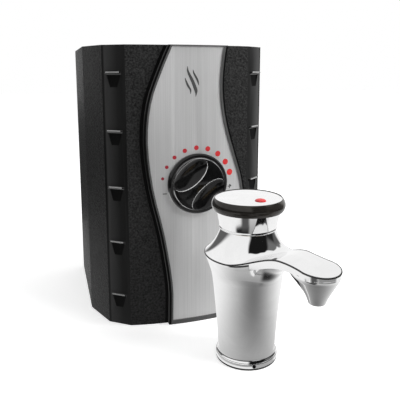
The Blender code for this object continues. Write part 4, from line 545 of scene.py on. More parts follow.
LEDGE_HEIGHTS = spread(LEDGE_LOWEST, LEDGE_HIGHEST, LEDGE_COUNT - 1)
ALONG = Vector((COLUMN_RUN, COLUMN_DEPTH)).normalized()
OUTWARD = Vector((ALONG.y, -ALONG.x))
COLUMN_LENGTH = Vector((COLUMN_RUN, COLUMN_DEPTH)).length


def in_column(centre):
    """A point as seen on its column: how far along the face, and how far out from it."""
    away = Vector((abs(centre.x) - FRONT_WIDTH / 2, centre.y - FRONT_Y))
    return away.dot(ALONG) - COLUMN_LENGTH / 2, away.dot(OUTWARD)


def column_place(side, along, outward, height):
    """A point given along, out from and up a column. Side is -1 on the left and 1 on the right."""
    x = FRONT_WIDTH / 2 + COLUMN_RUN / 2 + ALONG.x * along + ALONG.y * outward
    y = FRONT_Y + COLUMN_DEPTH / 2 + ALONG.y * along - ALONG.x * outward
    return Vector((side * x, y, height))


print("the ledges stand at", [round(height / MM, 1) for height in LEDGE_HEIGHTS], "mm")

# %% [markdown]
# The column's shading is painted into its colour: a lighter sheen along its outer side and a dark line at
# its end. The place across the column runs through a colour ramp to Base Color, so that the painted shade
# looks the same from any side, unlike a lamp that is set for one view.

# %% The column's painted shade
# Painted shade across a column, from its front side outwards, ending in a painted dark line.
COLUMN_PAINTED_TONES = ((0.0, 0.006), (0.35, 0.01), (0.7, 0.032), (0.88, 0.042), (0.93, 0.004))


def make_column_painted_shade():
    """Painted shade on a column: dark at its front side, lighter at its outer side, with a painted dark
    line at the end.
    """
    material, tree, shader = new_finish("column_painted_shade", grey(0.015), 0.4, Specular_IOR_Level=0.1)
    place = add_node(tree, "ShaderNodeTexCoord")
    parts = add_node(tree, "ShaderNodeSeparateXYZ")
    join(tree, place, "Object", parts, "Vector")
    aside = add_node(tree, "ShaderNodeMath", operation="ABSOLUTE")
    join(tree, parts, "X", aside, 0)
    share = add_node(tree, "ShaderNodeMapRange")
    join(tree, aside, "Value", share, "Value")
    share.inputs["From Min"].default_value = FRONT_WIDTH / 2
    share.inputs["From Max"].default_value = FRONT_WIDTH / 2 + COLUMN_RUN
    ramp = add_node(tree, "ShaderNodeValToRGB")
    join(tree, share, "Result", ramp, "Fac")
    stops = ramp.color_ramp.elements
    stops.remove(stops[1])
    stops[0].color = (*grey(COLUMN_PAINTED_TONES[0][1]), 1)
    for position, level in COLUMN_PAINTED_TONES[1:]:
        stops.new(position).color = (*grey(level), 1)
    join(tree, ramp, "Color", shader, "Base Color")
    return material


COLUMN_PAINTED_SHADE = make_column_painted_shade()
print("the column's ramp has", len(COLUMN_PAINTED_TONES), "stops")

# %% [markdown]
# The pockets under the ledges and the steep outer side of the trim get painted shadow in deep black, and
# the columns their painted shade. A mesh can carry several materials, and each face names one of them by
# its index, so the faces are chosen by their place or by the way they face.

# %% Faces with painted shade and shadow
COLUMN_HALF = COLUMN_RUN * 0.62
COLUMN_LAYER = (-0.1 * MM, 3 * MM)
POCKET_LAYER = (-2.4 * MM, -0.1 * MM)
POCKET_REACH = POCKET_HEIGHT + 1 * MM
TRIM_MIDDLE = 6 * MM
STEEP = 0.3


def paint_faces(piece, finish, chosen):
    """Gives the faces for which chosen(face) holds a finish of their own."""
    piece.data.materials.append(finish)
    slot = len(piece.data.materials) - 1
    count = 0
    for face in piece.data.polygons:
        if chosen(face):
            face.material_index = slot
            count += 1
    print(piece.name, "has", count, "faces of", finish.name)


def on_column(face):
    along, outward = in_column(face.center)
    return abs(along) < COLUMN_HALF and COLUMN_LAYER[0] < outward < COLUMN_LAYER[1]


def in_pocket(face):
    along, outward = in_column(face.center)
    under = any(0 < height - face.center.z < POCKET_REACH for height in LEDGE_HEIGHTS)
    return abs(along) < LEDGE_LENGTH / 2 and POCKET_LAYER[0] < outward < POCKET_LAYER[1] and under


def on_outer_side(face):
    return face.normal.x < -STEEP if face.center.x < TRIM_MIDDLE else face.normal.x > STEEP


# Painted shade on the columns, painted shadow in the pockets and on the trim's outer side.
paint_faces(SOFT_PIECES["front_cover"], COLUMN_PAINTED_SHADE, on_column)
paint_faces(SOFT_PIECES["front_cover"], SHADOW_BLACK, in_pocket)
paint_faces(SOFT_PIECES["panel_trim"], SHADOW_BLACK, on_outer_side)

# %% [markdown]
# The front edge of each ledge gets a painted highlight: a thin light-grey line. It is a rounded bar along
# the edge, with its ends drawn in. A bar is a row of rings joined by faces, and the same helper closes
# every tube and skin of this script.

# %% Painted highlights on the ledge edges
BAR_HALF = 7.6 * MM
BAR_THICK = 0.65 * MM
BAR_SIDES = 8
BAR_SUNK = 0.3 * MM
BAR_DROP = 0.5 * MM
BAR_RINGS = ((-1, 0.3), (-0.94, 1), (0.94, 1), (1, 0.3))


def join_rings(shape, rings, closed=False):
    """Joins rings of as many vertices each with faces. Unless they close, the ends get caps."""
    for ring, after in zip(rings, rings[1:] + (rings[:1] if closed else [])):
        for index in range(len(ring)):
            beside = (index + 1) % len(ring)
            shape.faces.new((ring[index], after[index], after[beside], ring[beside]))
    if not closed:
        shape.faces.new(rings[0])
        shape.faces.new(rings[-1][::-1])
    bmesh.ops.recalc_face_normals(shape, faces=shape.faces)


def bar_ring(shape, side, height, along, size):
    """A ring of a ledge's bar. Its size is a share of the bar's thickness."""
    return [
        shape.verts.new(column_place(
            side, along * BAR_HALF, LEDGE_REACH - BAR_SUNK + size * BAR_THICK * math.cos(turn),
            height - BAR_DROP + size * BAR_THICK * math.sin(turn),
        ))
        for turn in spread(0, math.tau, BAR_SIDES)[:-1]
    ]


def ledge_highlights():
    shape = bmesh.new()
    for side in (-1, 1):
        for height in LEDGE_HEIGHTS:
            join_rings(shape, [bar_ring(shape, side, height, *ring) for ring in BAR_RINGS])
    return piece_from(shape, "ledge_highlights")


# The bars carry a painted highlight.
add_detail(ledge_highlights(), "housing", PAINTED_LEDGE_HIGHLIGHT)
print("there are", 2 * LEDGE_COUNT, "bright ledge edges")

# %% [markdown]
# A band of painted shadow runs outside the trim, wide on the left, where the trim's steep side lies in
# shade.
# It is a thin black film on the case, which climbs the trim's outer side and covers a strip of its front.
# The film follows the trim's edges, sliced at even heights.

# %% Painted shadow outside the trim
SHADOW_BAND_LEFT = 3.4 * MM
SHADOW_BAND_RIGHT = 1.4 * MM
SHADOW_BAND_LIFT = 0.12 * MM
SHADOW_BAND_SUNK = 0.3 * MM
SHADOW_BAND_SKEW = 4
TRIM_PROUD = 5 * MM
COVER_LEFT = 2.1 * MM
COVER_RIGHT = 1.5 * MM
TRIM_LEVELS = 90
TRIM_INSET = 0.1 * MM
BOW_RADIUS = ((FRONT_WIDTH / 2) ** 2 + FRONT_CROWN**2) / (2 * FRONT_CROWN)
BOW_CENTRE_Y = FRONT_Y - FRONT_CROWN + BOW_RADIUS


def bow_y(x, proud=0.0):
    """Where the bowed front lies at x, or a surface proud in front of it."""
    return BOW_CENTRE_Y - math.sqrt((BOW_RADIUS + proud) ** 2 - x**2)


def trim_edges():
    """The trim's outer edges at even heights: (height, left, right)."""
    mesh = NODES["panel_trim"].data
    ends = [[mesh.vertices[index].co for index in edge.vertices] for edge in mesh.edges]
    low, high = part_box("panel_trim")
    levels = []
    for height in spread(low.z + TRIM_INSET, high.z - TRIM_INSET, TRIM_LEVELS):
        crossings = [
            start.x + (end.x - start.x) * (height - start.z) / (end.z - start.z)
            for start, end in ends
            if (start.z - height) * (end.z - height) < 0
        ]
        levels.append((height, min(crossings), max(crossings)))
    return levels


def shadow_band_ring(shape, edge, height, width, cover):
    """A slice of the film: along the case, up the trim's side, over its front and back inside."""
    skew = math.copysign(SHADOW_BAND_LIFT, width)
    front = TRIM_PROUD + SHADOW_BAND_LIFT
    outline = (
        (edge + width, SHADOW_BAND_LIFT), (edge + skew, SHADOW_BAND_LIFT), (edge + skew, front),
        (edge + cover, front), (edge + cover, TRIM_PROUD - SHADOW_BAND_SUNK),
        (edge - skew * SHADOW_BAND_SKEW, -SHADOW_BAND_SUNK), (edge + width, -SHADOW_BAND_SUNK),
    )
    return [shape.verts.new((x, bow_y(x, lift), height)) for x, lift in outline]


def painted_shadow_band():
    shape = bmesh.new()
    edges = trim_edges()
    join_rings(shape, [
        shadow_band_ring(shape, left, height, -SHADOW_BAND_LEFT, COVER_LEFT) for height, left, right in edges
    ])
    join_rings(shape, [
        shadow_band_ring(shape, right, height, SHADOW_BAND_RIGHT, -COVER_RIGHT) for height, left, right in edges
    ])
    print("the shadow gap follows", len(edges), "levels of the trim")
    return piece_from(shape, "painted_shadow_band")


# The band is painted shadow.
add_detail(painted_shadow_band(), "housing", SHADOW_BLACK)

# %% [markdown]
# ## The dial
# The dial is a ring with a turning knob in it. Gloss black shows every facet, so both are turned again
# with fine steps, as on a lathe: a profile of radii and heights goes round an axis. The corners of the
# profile become arcs first, because a knife edge would catch no light.

# %% Turning a profile
ON_AXIS = 1e-7
FILLET_STEPS = 5
TURN_STEPS = 96


def rounded(corners):
    """A closed outline whose corners (across, up, radius) become arcs."""
    points = []
    for before, here, after in zip(corners[-1:] + corners[:-1], corners, corners[1:] + corners[:1]):
        place = Vector(here[:2])
        if not here[2]:
            points.append(place)
            continue
        back = (Vector(before[:2]) - place).normalized()
        ahead = (Vector(after[:2]) - place).normalized()
        half = back.angle(ahead) / 2
        reach = here[2] / math.tan(half)
        centre = place + (back + ahead).normalized() * here[2] / math.sin(half)
        start, end = place + back * reach - centre, place + ahead * reach - centre
        for share in spread(0, 1, FILLET_STEPS):
            arm = (start * (1 - share) + end * share).normalized() * here[2]
            points.append(centre + arm)
    return points


def turned(name, profile, centre, steps=TURN_STEPS, closed=True):
    """A profile of (radius, height) points turned about the vertical through a centre."""
    shape = bmesh.new()
    rows = []
    for radius, height in profile:
        count = 1 if radius < ON_AXIS else steps
        rows.append([
            shape.verts.new((radius * math.cos(turn), radius * math.sin(turn), height))
            for turn in spread(0, math.tau, count)[:-1]
        ])
    pairs = list(zip(rows, rows[1:])) + ([(rows[-1], rows[0])] if closed else [])
    for upper, lower in pairs:
        for index in range(steps):
            ring = [upper[index % len(upper)], lower[index % len(lower)]]
            ring += [lower[(index + 1) % len(lower)], upper[(index + 1) % len(upper)]]
            corners = list(dict.fromkeys(ring))
            if len(corners) > 2:
                shape.faces.new(corners)
    bmesh.ops.recalc_face_normals(shape, faces=shape.faces)
    piece = piece_from(shape, name)
    piece.data.transform(Matrix.Translation(centre))
    return piece


# %% [markdown]
# The bezel is a glossy black ring that stands proud of the panel. Its face turns over into a sloped and
# rounded rim, which draws the bright crescent that gloss black shows. It is turned lying down, then stood
# up so that its top faces the front.

# %% Bezel
BEZEL_LOW, BEZEL_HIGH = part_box("dial_bezel")
BEZEL_RADIUS = (BEZEL_HIGH.x - BEZEL_LOW.x) / 2
BEZEL_BORE = 27.2 * MM
BEZEL_PROUD = 5 * MM
BEZEL_SLOPE = 1.6 * MM
BEZEL_FILLETS = (0.5 * MM, 1.4 * MM, 1.2 * MM)
DIAL_STEPS = 128
DIAL_X = (BEZEL_LOW.x + BEZEL_HIGH.x) / 2
DIAL_Y = BEZEL_LOW.y + BEZEL_PROUD
DIAL_Z = (BEZEL_LOW.z + BEZEL_HIGH.z) / 2
FACING_FRONT = Matrix.Rotation(math.pi / 2, 4, "X")


def on_dial(piece):
    """Stands a turned piece up on the dial's middle, so that its top faces the front."""
    piece.data.transform(Matrix.Translation((DIAL_X, DIAL_Y, DIAL_Z)) @ FACING_FRONT)
    return piece


bezel_corners = [
    (BEZEL_BORE, BEZEL_PROUD, BEZEL_FILLETS[0]),
    (BEZEL_RADIUS - BEZEL_SLOPE, BEZEL_PROUD, BEZEL_FILLETS[1]),
    (BEZEL_RADIUS, BEZEL_PROUD / 2, BEZEL_FILLETS[2]),
    (BEZEL_RADIUS, -BEZEL_PROUD, 0), (BEZEL_BORE, -BEZEL_PROUD, 0),
]
bezel = turned("dial_ring", rounded(bezel_corners), (0, 0, 0), DIAL_STEPS)
dress(on_dial(bezel), "dial_bezel")
print("the dial stands", round(BEZEL_RADIUS * 2 / MM, 1), "mm across")

# %% [markdown]
# The knob is a low dome with two scoops, which leave a diagonal grip bar between them. A fingertip would
# leave such hollows in clay, so each scoop is a long ellipsoid that a Boolean modifier cuts out of the
# turned dome. Its facets are fine, because the hollows are the glossiest part of the whole set.

# %% Cutting shapes out and joining them on
SCOOP_STEPS = (96, 48)


def ellipsoid(name, radii):
    shape = bmesh.new()
    bmesh.ops.create_uvsphere(shape, u_segments=SCOOP_STEPS[0], v_segments=SCOOP_STEPS[1], radius=1)
    bmesh.ops.transform(shape, matrix=Matrix.Diagonal((*radii, 1)), verts=shape.verts)
    return piece_from(shape, name)


def combined(piece, other, operation):
    """Cuts another mesh out of a piece or joins it on, and removes the other."""
    link(other)
    boolean = piece.modifiers.new("combined", "BOOLEAN")
    boolean.operation = operation
    boolean.object = other
    baked(piece)
    bpy.data.objects.remove(other)
    return piece


# %% [markdown]
# The dome is a parabola with a rounded edge, so its profile is a formula and not a list of corners. The
# two scoops lie on either side of the bar and are turned with it.

# %% Knob
KNOB_LOW, KNOB_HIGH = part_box("temperature_knob")
KNOB_RADIUS = (KNOB_HIGH.x - KNOB_LOW.x) / 2
KNOB_LIFT = DIAL_Y - KNOB_HIGH.y
KNOB_RIM = 6.2 * MM
KNOB_CROWN = 3 * MM
KNOB_EDGE = 0.8 * MM
DOME_STEPS = 14
EDGE_STEPS = 4
BAR_TILT = math.radians(41)
SCOOP = (21.6 * MM, 11.2 * MM, 7 * MM)
SCOOP_OFFSET = 14.8 * MM
SCOOP_LIFT = 1.4 * MM


def knob_profile(rim):
    dome = [
        (KNOB_RADIUS * share, rim + KNOB_CROWN * (1 - share**2))
        for share in spread(0, 1, DOME_STEPS)[:-1]
    ]
    side = [
        (KNOB_RADIUS - KNOB_EDGE * (1 - math.sin(turn)), rim - KNOB_EDGE * (1 - math.cos(turn)))
        for turn in spread(0, math.pi / 2, EDGE_STEPS)
    ]
    return [*dome, *side, (KNOB_RADIUS, KNOB_LIFT), (0, KNOB_LIFT)]


def make_knob():
    rim = KNOB_LIFT + KNOB_RIM
    knob = turned("grip_knob", knob_profile(rim), (0, 0, 0), DIAL_STEPS, closed=False)
    for hand in (1, -1):
        scoop = ellipsoid("scoop", SCOOP)
        away = BAR_TILT + hand * math.pi / 2
        place = (SCOOP_OFFSET * math.cos(away), SCOOP_OFFSET * math.sin(away), rim + SCOOP_LIFT)
        scoop.data.transform(Matrix.Translation(place) @ Matrix.Rotation(BAR_TILT, 4, "Z"))
        combined(knob, scoop, "DIFFERENCE")
    return on_dial(knob)


knob = dress(make_knob(), "temperature_knob")
print("the knob has", len(knob.data.polygons), "faces")

# %% [markdown]
# Where a scoop meets the dome, the edge carries a painted highlight, a bright line. Each point of that
# edge lies where the dome's height and the ellipsoid's agree, and halving the span between two guesses
# finds it quickly, where solving both formulas together would be long.

# %% The edge between a scoop and the dome
RIDGE_MARGIN = 0.9 * MM
RIDGE_POINTS = 72
HALVINGS = 30


def scoop_edge(hand):
    """Points along a scoop's edge on the dome: across, up and out from the dial's face."""
    away = BAR_TILT + hand * math.pi / 2
    along = Vector((math.cos(BAR_TILT), math.sin(BAR_TILT)))
    aside = Vector((math.cos(away), math.sin(away)))
    points = []
    for turn in spread(-math.pi, math.pi, RIDGE_POINTS):
        low, high = 0, 1
        for _ in range(HALVINGS):
            middle = (low + high) / 2
            place = aside * (SCOOP_OFFSET - SCOOP[1] * middle * math.cos(turn))
            place += along * SCOOP[0] * middle * math.sin(turn)
            dome = KNOB_CROWN * (1 - (place.length / KNOB_RADIUS) ** 2)
            if ((dome - SCOOP_LIFT) / SCOOP[2]) ** 2 + middle**2 < 1:
                low = middle
            else:
                high = middle
        if place.length < KNOB_RADIUS - RIDGE_MARGIN:
            points.append(Vector((place.x, place.y, KNOB_LIFT + KNOB_RIM + dome)))
    return points


scoop_edges = [scoop_edge(hand) for hand in (1, -1)]
print("the scoops' edges have", [len(points) for points in scoop_edges], "points")

# %% [markdown]
# The painted highlight is a thin pale wire along the edge, finer on the lower scoop and tapered at its
# ends.
# A bevel on the cut itself would fail, because the cut leaves some very short edges there.

# %% Painted highlights on the knob's ridges
RIDGES = (0.32 * MM, 0.192 * MM)
WIRE_SIDES = 8
WIRE_TAPER = 0.2
UP = Vector((0, 0, 1))


def around(shape, centre, outward, radius, sides):
    """A ring of vertices about a centre, upright and square to the path whose outward side is given."""
    return [
        shape.verts.new(centre + radius * (outward * math.cos(turn) + UP * math.sin(turn)))
        for turn in spread(0, math.tau, sides)[:-1]
    ]


def wire(shape, points, thick):
    """Adds a round wire through points, tapered at its ends."""
    last = len(points) - 1
    rings = []
    for index, point in enumerate(points):
        ahead = points[min(index + 1, last)] - points[max(index - 1, 0)]
        outward = Vector((ahead.y, -ahead.x, 0)).normalized()
        size = thick * min(1, WIRE_TAPER + WIRE_TAPER * min(index, last - index))
        rings.append(around(shape, point, outward, size, WIRE_SIDES))
    join_rings(shape, rings)


def scoop_ridge_highlights():
    shape = bmesh.new()
    for points, thick in zip(scoop_edges, RIDGES):
        wire(shape, points, thick)
    return piece_from(shape, "scoop_ridge_highlights")


# The wires carry a painted highlight.
ridges = add_detail(on_dial(scoop_ridge_highlights()), "knob", PAINTED_RIDGE_HIGHLIGHT)
print("the knob's ridges have", len(ridges.data.polygons), "faces")

# %% [markdown]
# ## Print on the panel
# Printing lies on the panel as a film of ink, a few hundredths of a millimetre proud. An image texture
# could give it, but thin solids keep their edges sharp at any distance and stay separate pieces. Their
# points follow the bow of the panel.

# %% Films of ink
PANEL_PROUD = 3.8 * MM
INK_LIFT = 0.08 * MM
INK_DEPTH = 0.2 * MM
FLAT_CORNERS = 4
OUTLINE_STEPS = 28


def panel_y(x, lift=0.0):
    """Where the panel's face lies at x, or lift in front of it."""
    return bow_y(x, PANEL_PROUD + lift)


def ink_film(name, outlines):
    """Thin solids with these outlines in X and Z, laid on the panel."""
    shape = bmesh.new()
    for outline in outlines:
        front = [shape.verts.new((x, panel_y(x, INK_LIFT), z)) for x, z in outline]
        back = [shape.verts.new((x, panel_y(x, INK_LIFT) + INK_DEPTH, z)) for x, z in outline]
        shape.faces.new(front)
        shape.faces.new(back[::-1])
        count = len(outline)
        for index in range(count):
            after = (index + 1) % count
            shape.faces.new((front[index], back[index], back[after], front[after]))
    bmesh.ops.triangulate(shape, faces=[face for face in shape.faces if len(face.verts) > FLAT_CORNERS])
    bmesh.ops.recalc_face_normals(shape, faces=shape.faces)
    return piece_from(shape, name)


def disc_outline(x, z, radius):
    return [
        (x + radius * math.cos(turn), z + radius * math.sin(turn))
        for turn in spread(0, math.tau, OUTLINE_STEPS)[:-1]
    ]


# %% [markdown]
# Nine dots grow from small and dark to large and bright round the dial, so that a glance tells which way
# is hotter. Size and colour run evenly from the first to the last, and each dot has its own ink.

# %% Heat dots
DOT_COUNT = 9
DOT_CIRCLE = 37 * MM
DOT_FIRST_TURN = math.radians(169.5)
DOT_LAST_TURN = math.radians(14.5)
DOT_SMALLEST = 1.6 * MM
DOT_LARGEST = 3.3 * MM
COOL_INK = (0.3, 0.012, 0.03)
HOT_INK = (0.76, 0.03, 0.03)
INK_SHADE = 0.85


def between_ends(first, last, share):
    """The value share of the way from the first to the last."""
    return first + (last - first) * share


def heat_dot(number, share):
    """One dot, share of the way from the coolest to the hottest."""
    turn = between_ends(DOT_FIRST_TURN, DOT_LAST_TURN, share)
    x = DIAL_X + DOT_CIRCLE * math.cos(turn)
    z = DIAL_Z + DOT_CIRCLE * math.sin(turn)
    color = tuple(between_ends(cool, hot, share) for cool, hot in zip(COOL_INK, HOT_INK))
    darker = tuple(INK_SHADE * level for level in color)
    ink = place_group(
        new_finish(f"red_ink_{number}", color, 0.4), MOULDED_GRAIN, darker, color,
        Grain_Scale=1500, Smoothest=0.35, Roughest=0.5,
    )
    outline = disc_outline(x, z, between_ends(DOT_SMALLEST, DOT_LARGEST, share))
    add_detail(ink_film(f"heat_dot_{number}", [outline]), "housing", ink)


for index in range(DOT_COUNT):
    heat_dot(index + 1, index / (DOT_COUNT - 1))
print("the panel carries", DOT_COUNT, "heat dots")

# %% [markdown]
# A minus and a plus stand at the ends of the row of dots. Both are outlines of straight strokes, one bar
# for the minus and twelve corners for the plus, so that its arms don't overlap.

# %% Signs
DARK_INK = place_group(
    new_finish("dark_ink", grey(0.06), 0.45), MOULDED_GRAIN, grey(0.05), grey(0.075),
    Grain_Scale=1500, Smoothest=0.4, Roughest=0.55,
)
SIGN_HALF = 2.1 * MM
SIGN_STROKE = 0.45 * MM
MINUS_PLACE = (DIAL_X - 34.3 * MM, DIAL_Z - 9 * MM)
PLUS_PLACE = (DIAL_X + 36 * MM, DIAL_Z - 6 * MM)


def bar_outline(x, z, across, up):
    return [(x - across, z - up), (x + across, z - up), (x + across, z + up), (x - across, z + up)]


def plus_outline(x, z, arm, stroke):
    corners = (
        (-arm, -stroke), (-stroke, -stroke), (-stroke, -arm), (stroke, -arm), (stroke, -stroke),
        (arm, -stroke), (arm, stroke), (stroke, stroke), (stroke, arm), (-stroke, arm),
        (-stroke, stroke), (-arm, stroke),
    )
    return [(x + across, z + up) for across, up in corners]


minus = ink_film("minus_sign", [bar_outline(*MINUS_PLACE, SIGN_HALF, SIGN_STROKE)])
plus = ink_film("plus_sign", [plus_outline(*PLUS_PLACE, SIGN_HALF, SIGN_STROKE)])
for sign in (minus, plus):
    add_detail(sign, "housing", DARK_INK)
print("each sign is", round(2 * SIGN_HALF / MM, 1), "mm across")

# %% [markdown]
# Three strokes of rising steam mark the head of the panel, the common sign for hot. Each is drawn as a
# middle line that swells and tapers. A smooth curve through a handful of points gives both the line and
# its half widths, which is easier to adjust than an outline.

# %% Steam
STEAM_STEPS = 5
STEAM_X = 0.4 * MM
STEAM_Z = 254.5 * MM
STEAM_STROKES = (
    (
        (-4.6, 14.9, 0.15), (-4.2, 9.8, 1.0), (-0.4, 2, 1.7), (3, -5.6, 1.6), (4.3, -9.6, 1.2),
        (3.7, -14.9, 0.2),
    ),
    ((-7.2, 3.6, 0.15), (-6.2, 0.3, 0.8), (-4, -4.6, 1.15), (-1.9, -8, 0.95), (-1.6, -12.2, 0.2)),
    ((0.9, 11.6, 0.15), (1.8, 8.2, 0.85), (4.2, 3.8, 1.15), (5.8, 0.4, 1.0), (6.9, -3.9, 0.2)),
)


def smooth_curve(points, per_span):
    """Points along a smooth curve that passes through the given ones."""
    ends = [points[0], *points, points[-1]]
    curve = []
    for before, start, end, after in zip(ends, ends[1:], ends[2:], ends[3:]):
        for share in spread(0, 1, per_span)[:-1]:
            weights = (
                -share / 2 + share**2 - share**3 / 2,
                1 - 5 * share**2 / 2 + 3 * share**3 / 2,
                share / 2 + 2 * share**2 - 3 * share**3 / 2,
                -(share**2) / 2 + share**3 / 2,
            )
            corners = (before, start, end, after)
            curve.append(tuple(sum(w * c[axis] for w, c in zip(weights, corners)) for axis in (0, 1)))
    return [*curve, tuple(points[-1])]


def steam_outline(stroke):
    """One S-shaped stroke through points (across, up, half width), all in millimetres."""
    middle = smooth_curve([(across, up) for across, up, _ in stroke], STEAM_STEPS)
    halves = smooth_curve([(up, half) for _, up, half in stroke], STEAM_STEPS)
    places = [(x, STEAM_Z + z * MM, half) for (x, z), (_, half) in zip(middle, halves)]
    left = [(STEAM_X + (x - half) * MM, z) for x, z, half in places]
    right = [(STEAM_X + (x + half) * MM, z) for x, z, half in places]
    return right + left[::-1]


steam = ink_film("steam_mark", [steam_outline(stroke) for stroke in STEAM_STROKES])
add_detail(steam, "housing", DARK_INK)
print("the steam mark has", len(STEAM_STROKES), "strokes")

# %% [markdown]
# ## The faucet's turned pieces
# Gasket, ring, collar, cap and disc are all turned about one upright axis, the middle of the gasket. The
# gasket is a plain rubber washer, and its outer edges are a little rounder than its bore.

# %% Gasket
GASKET_LOW, GASKET_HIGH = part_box("deck_gasket")
GASKET_RADIUS = (GASKET_HIGH.x - GASKET_LOW.x) / 2
GASKET_BORE = 17 * MM
FAUCET_AXIS = ((GASKET_LOW + GASKET_HIGH) / 2).to_2d()
FAUCET_BASE = Vector((*FAUCET_AXIS, 0))
CRISP_FILLET = 0.2 * MM
FINE_FILLET = 0.3 * MM
SOFT_FILLET = 0.4 * MM
ROUND_FILLET = 0.5 * MM
gasket = turned(
    "deck_seal",
    rounded([
        (GASKET_BORE, GASKET_HIGH.z, CRISP_FILLET), (GASKET_RADIUS, GASKET_HIGH.z, FINE_FILLET),
        (GASKET_RADIUS, 0, FINE_FILLET), (GASKET_BORE, 0, CRISP_FILLET),
    ]),
    FAUCET_BASE,
)
dress(gasket, "deck_gasket")
print("the gasket is", round(2 * GASKET_RADIUS / MM, 1), "mm across")

# %% [markdown]
# The polished ring at the foot has a broad round shoulder on top and is pierced by the hole of its set
# screw, which reads as one dark notch. Chrome mirrors its whole surroundings, so from here on the pieces
# are turned with finer steps.

# %% Base ring
RING_LOW, RING_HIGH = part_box("base_ring")
RING_MIDDLE = (RING_LOW.z + RING_HIGH.z) / 2
RING_RADIUS = (RING_HIGH.x - RING_LOW.x) / 2
RING_BORE = 22.5 * MM
RING_SHOULDER = 1.1 * MM
RING_FOOT = 0.6 * MM
RING_TAPER = (0.3 * MM, 0.2 * MM)
CHROME_STEPS = 144
SCREW_HOLE = 1.75 * MM
HOLE_DEPTH = RING_RADIUS / 4
HOLE_STEPS = 24
ring = turned(
    "foot_ring",
    rounded([
        (RING_BORE, RING_HIGH.z, CRISP_FILLET),
        (RING_RADIUS - RING_TAPER[0], RING_HIGH.z, RING_SHOULDER),
        (RING_RADIUS, RING_MIDDLE, SOFT_FILLET),
        (RING_RADIUS - RING_TAPER[1], RING_LOW.z, RING_FOOT), (RING_BORE, RING_LOW.z, CRISP_FILLET),
    ]),
    FAUCET_BASE,
    CHROME_STEPS,
)
screw_low, screw_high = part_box("base_screw")
screw_middle = (screw_low + screw_high) / 2
outward = (screw_middle - FAUCET_BASE).to_2d().normalized().to_3d()
hole = turned(
    "screw_hole", [(0, 0), (SCREW_HOLE, 0), (SCREW_HOLE, HOLE_DEPTH), (0, HOLE_DEPTH)], (0, 0, 0),
    HOLE_STEPS, closed=False,
)
hole.data.transform(
    Matrix.Translation(screw_middle - outward * MM)
    @ UP.rotation_difference(outward).to_matrix().to_4x4()
)
combined(ring, hole, "DIFFERENCE")
dress(ring, "base_ring")
print("the set screw's hole is", round(SCREW_HOLE * 2 / MM, 1), "mm across")

# %% [markdown]
# The collar is a conical cup under the button, with a bead round its foot that sits on the neck. The cup
# is hollow, as a pressed cup is, and its wall shows only as the fine rim under the button.

# %% Collar
COLLAR_LOW, COLLAR_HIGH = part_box("collar")
COLLAR_TOP_RADIUS = (COLLAR_HIGH.x - COLLAR_LOW.x) / 2
COLLAR_FOOT_RADIUS = 25.8 * MM
COLLAR_WALL = 1.6 * MM
COLLAR_BORE = 14.3 * MM
COLLAR_FLOOR = COLLAR_LOW.z + 2.7 * MM
BEAD_RADIUS = COLLAR_FOOT_RADIUS + 0.6 * MM
BEAD_NECK = (COLLAR_FOOT_RADIUS + 0.1 * MM, COLLAR_LOW.z + 2.2 * MM)
BEAD_TOP = COLLAR_LOW.z + 1.4 * MM
BEAD_FOOT = COLLAR_LOW.z + 0.5 * MM
SEAT_RADIUS = COLLAR_FOOT_RADIUS - 0.2 * MM
collar = turned(
    "neck_collar",
    rounded([
        (COLLAR_TOP_RADIUS - COLLAR_WALL, COLLAR_HIGH.z, ROUND_FILLET),
        (COLLAR_TOP_RADIUS, COLLAR_HIGH.z, ROUND_FILLET), (*BEAD_NECK, SOFT_FILLET),
        (BEAD_RADIUS, BEAD_TOP, SOFT_FILLET), (BEAD_RADIUS, BEAD_FOOT, FINE_FILLET),
        (SEAT_RADIUS, COLLAR_LOW.z, CRISP_FILLET), (COLLAR_BORE, COLLAR_LOW.z, CRISP_FILLET),
        (COLLAR_BORE, COLLAR_FLOOR, CRISP_FILLET),
        (COLLAR_FOOT_RADIUS - COLLAR_WALL, COLLAR_FLOOR, SOFT_FILLET),
    ]),
    FAUCET_BASE,
    CHROME_STEPS,
)
dress(collar, "collar")
print("the collar is", round(2 * COLLAR_TOP_RADIUS / MM, 1), "mm across its rim")

# %% [markdown]
# The button is a cap with a bulging dark band and a shallow recess for the bright disc. The band's bulge
# is a parabola, and the cap is open below, where it drops over the collar's rim when it is pressed.

# %% Button: dark band
DISC_LOW, DISC_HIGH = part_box("button_disc")
DISC_RADIUS = (DISC_HIGH.x - DISC_LOW.x) / 2
CAP_LOW, CAP_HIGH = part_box("button_cap")
CAP_FOOT_RADIUS = 31.7 * MM
CAP_TOP_RADIUS = 31.3 * MM
CAP_BULGE = 1.8 * MM
CAP_BORE = 30.2 * MM
CAP_PLATE = 3 * MM
CAP_LIP = 0.7 * MM
LIP_CHAMFER = (0.3 * MM, 0.2 * MM)
DISC_GAP = 0.3 * MM
BAND_STEPS = 16


def band_point(share):
    """A point of the band, share of the way down."""
    radius = between_ends(CAP_TOP_RADIUS, CAP_FOOT_RADIUS, share)
    radius += CAP_BULGE * 4 * share * (1 - share)
    return radius, between_ends(CAP_HIGH.z, CAP_LOW.z, share)


def make_band():
    recess = DISC_RADIUS + DISC_GAP
    recess_floor = DISC_LOW.z - DISC_GAP
    lip = CAP_HIGH.z + CAP_LIP
    profile = [
        (0, recess_floor), (recess, recess_floor), (recess, lip - LIP_CHAMFER[1]),
        (recess + LIP_CHAMFER[0], lip), (CAP_TOP_RADIUS - CAP_LIP, lip),
        *(band_point(share) for share in spread(0, 1, BAND_STEPS)),
        (CAP_BORE, CAP_LOW.z), (CAP_BORE, CAP_HIGH.z - CAP_PLATE), (0, CAP_HIGH.z - CAP_PLATE),
    ]
    return turned("button_band", profile, FAUCET_BASE, CHROME_STEPS, closed=False)


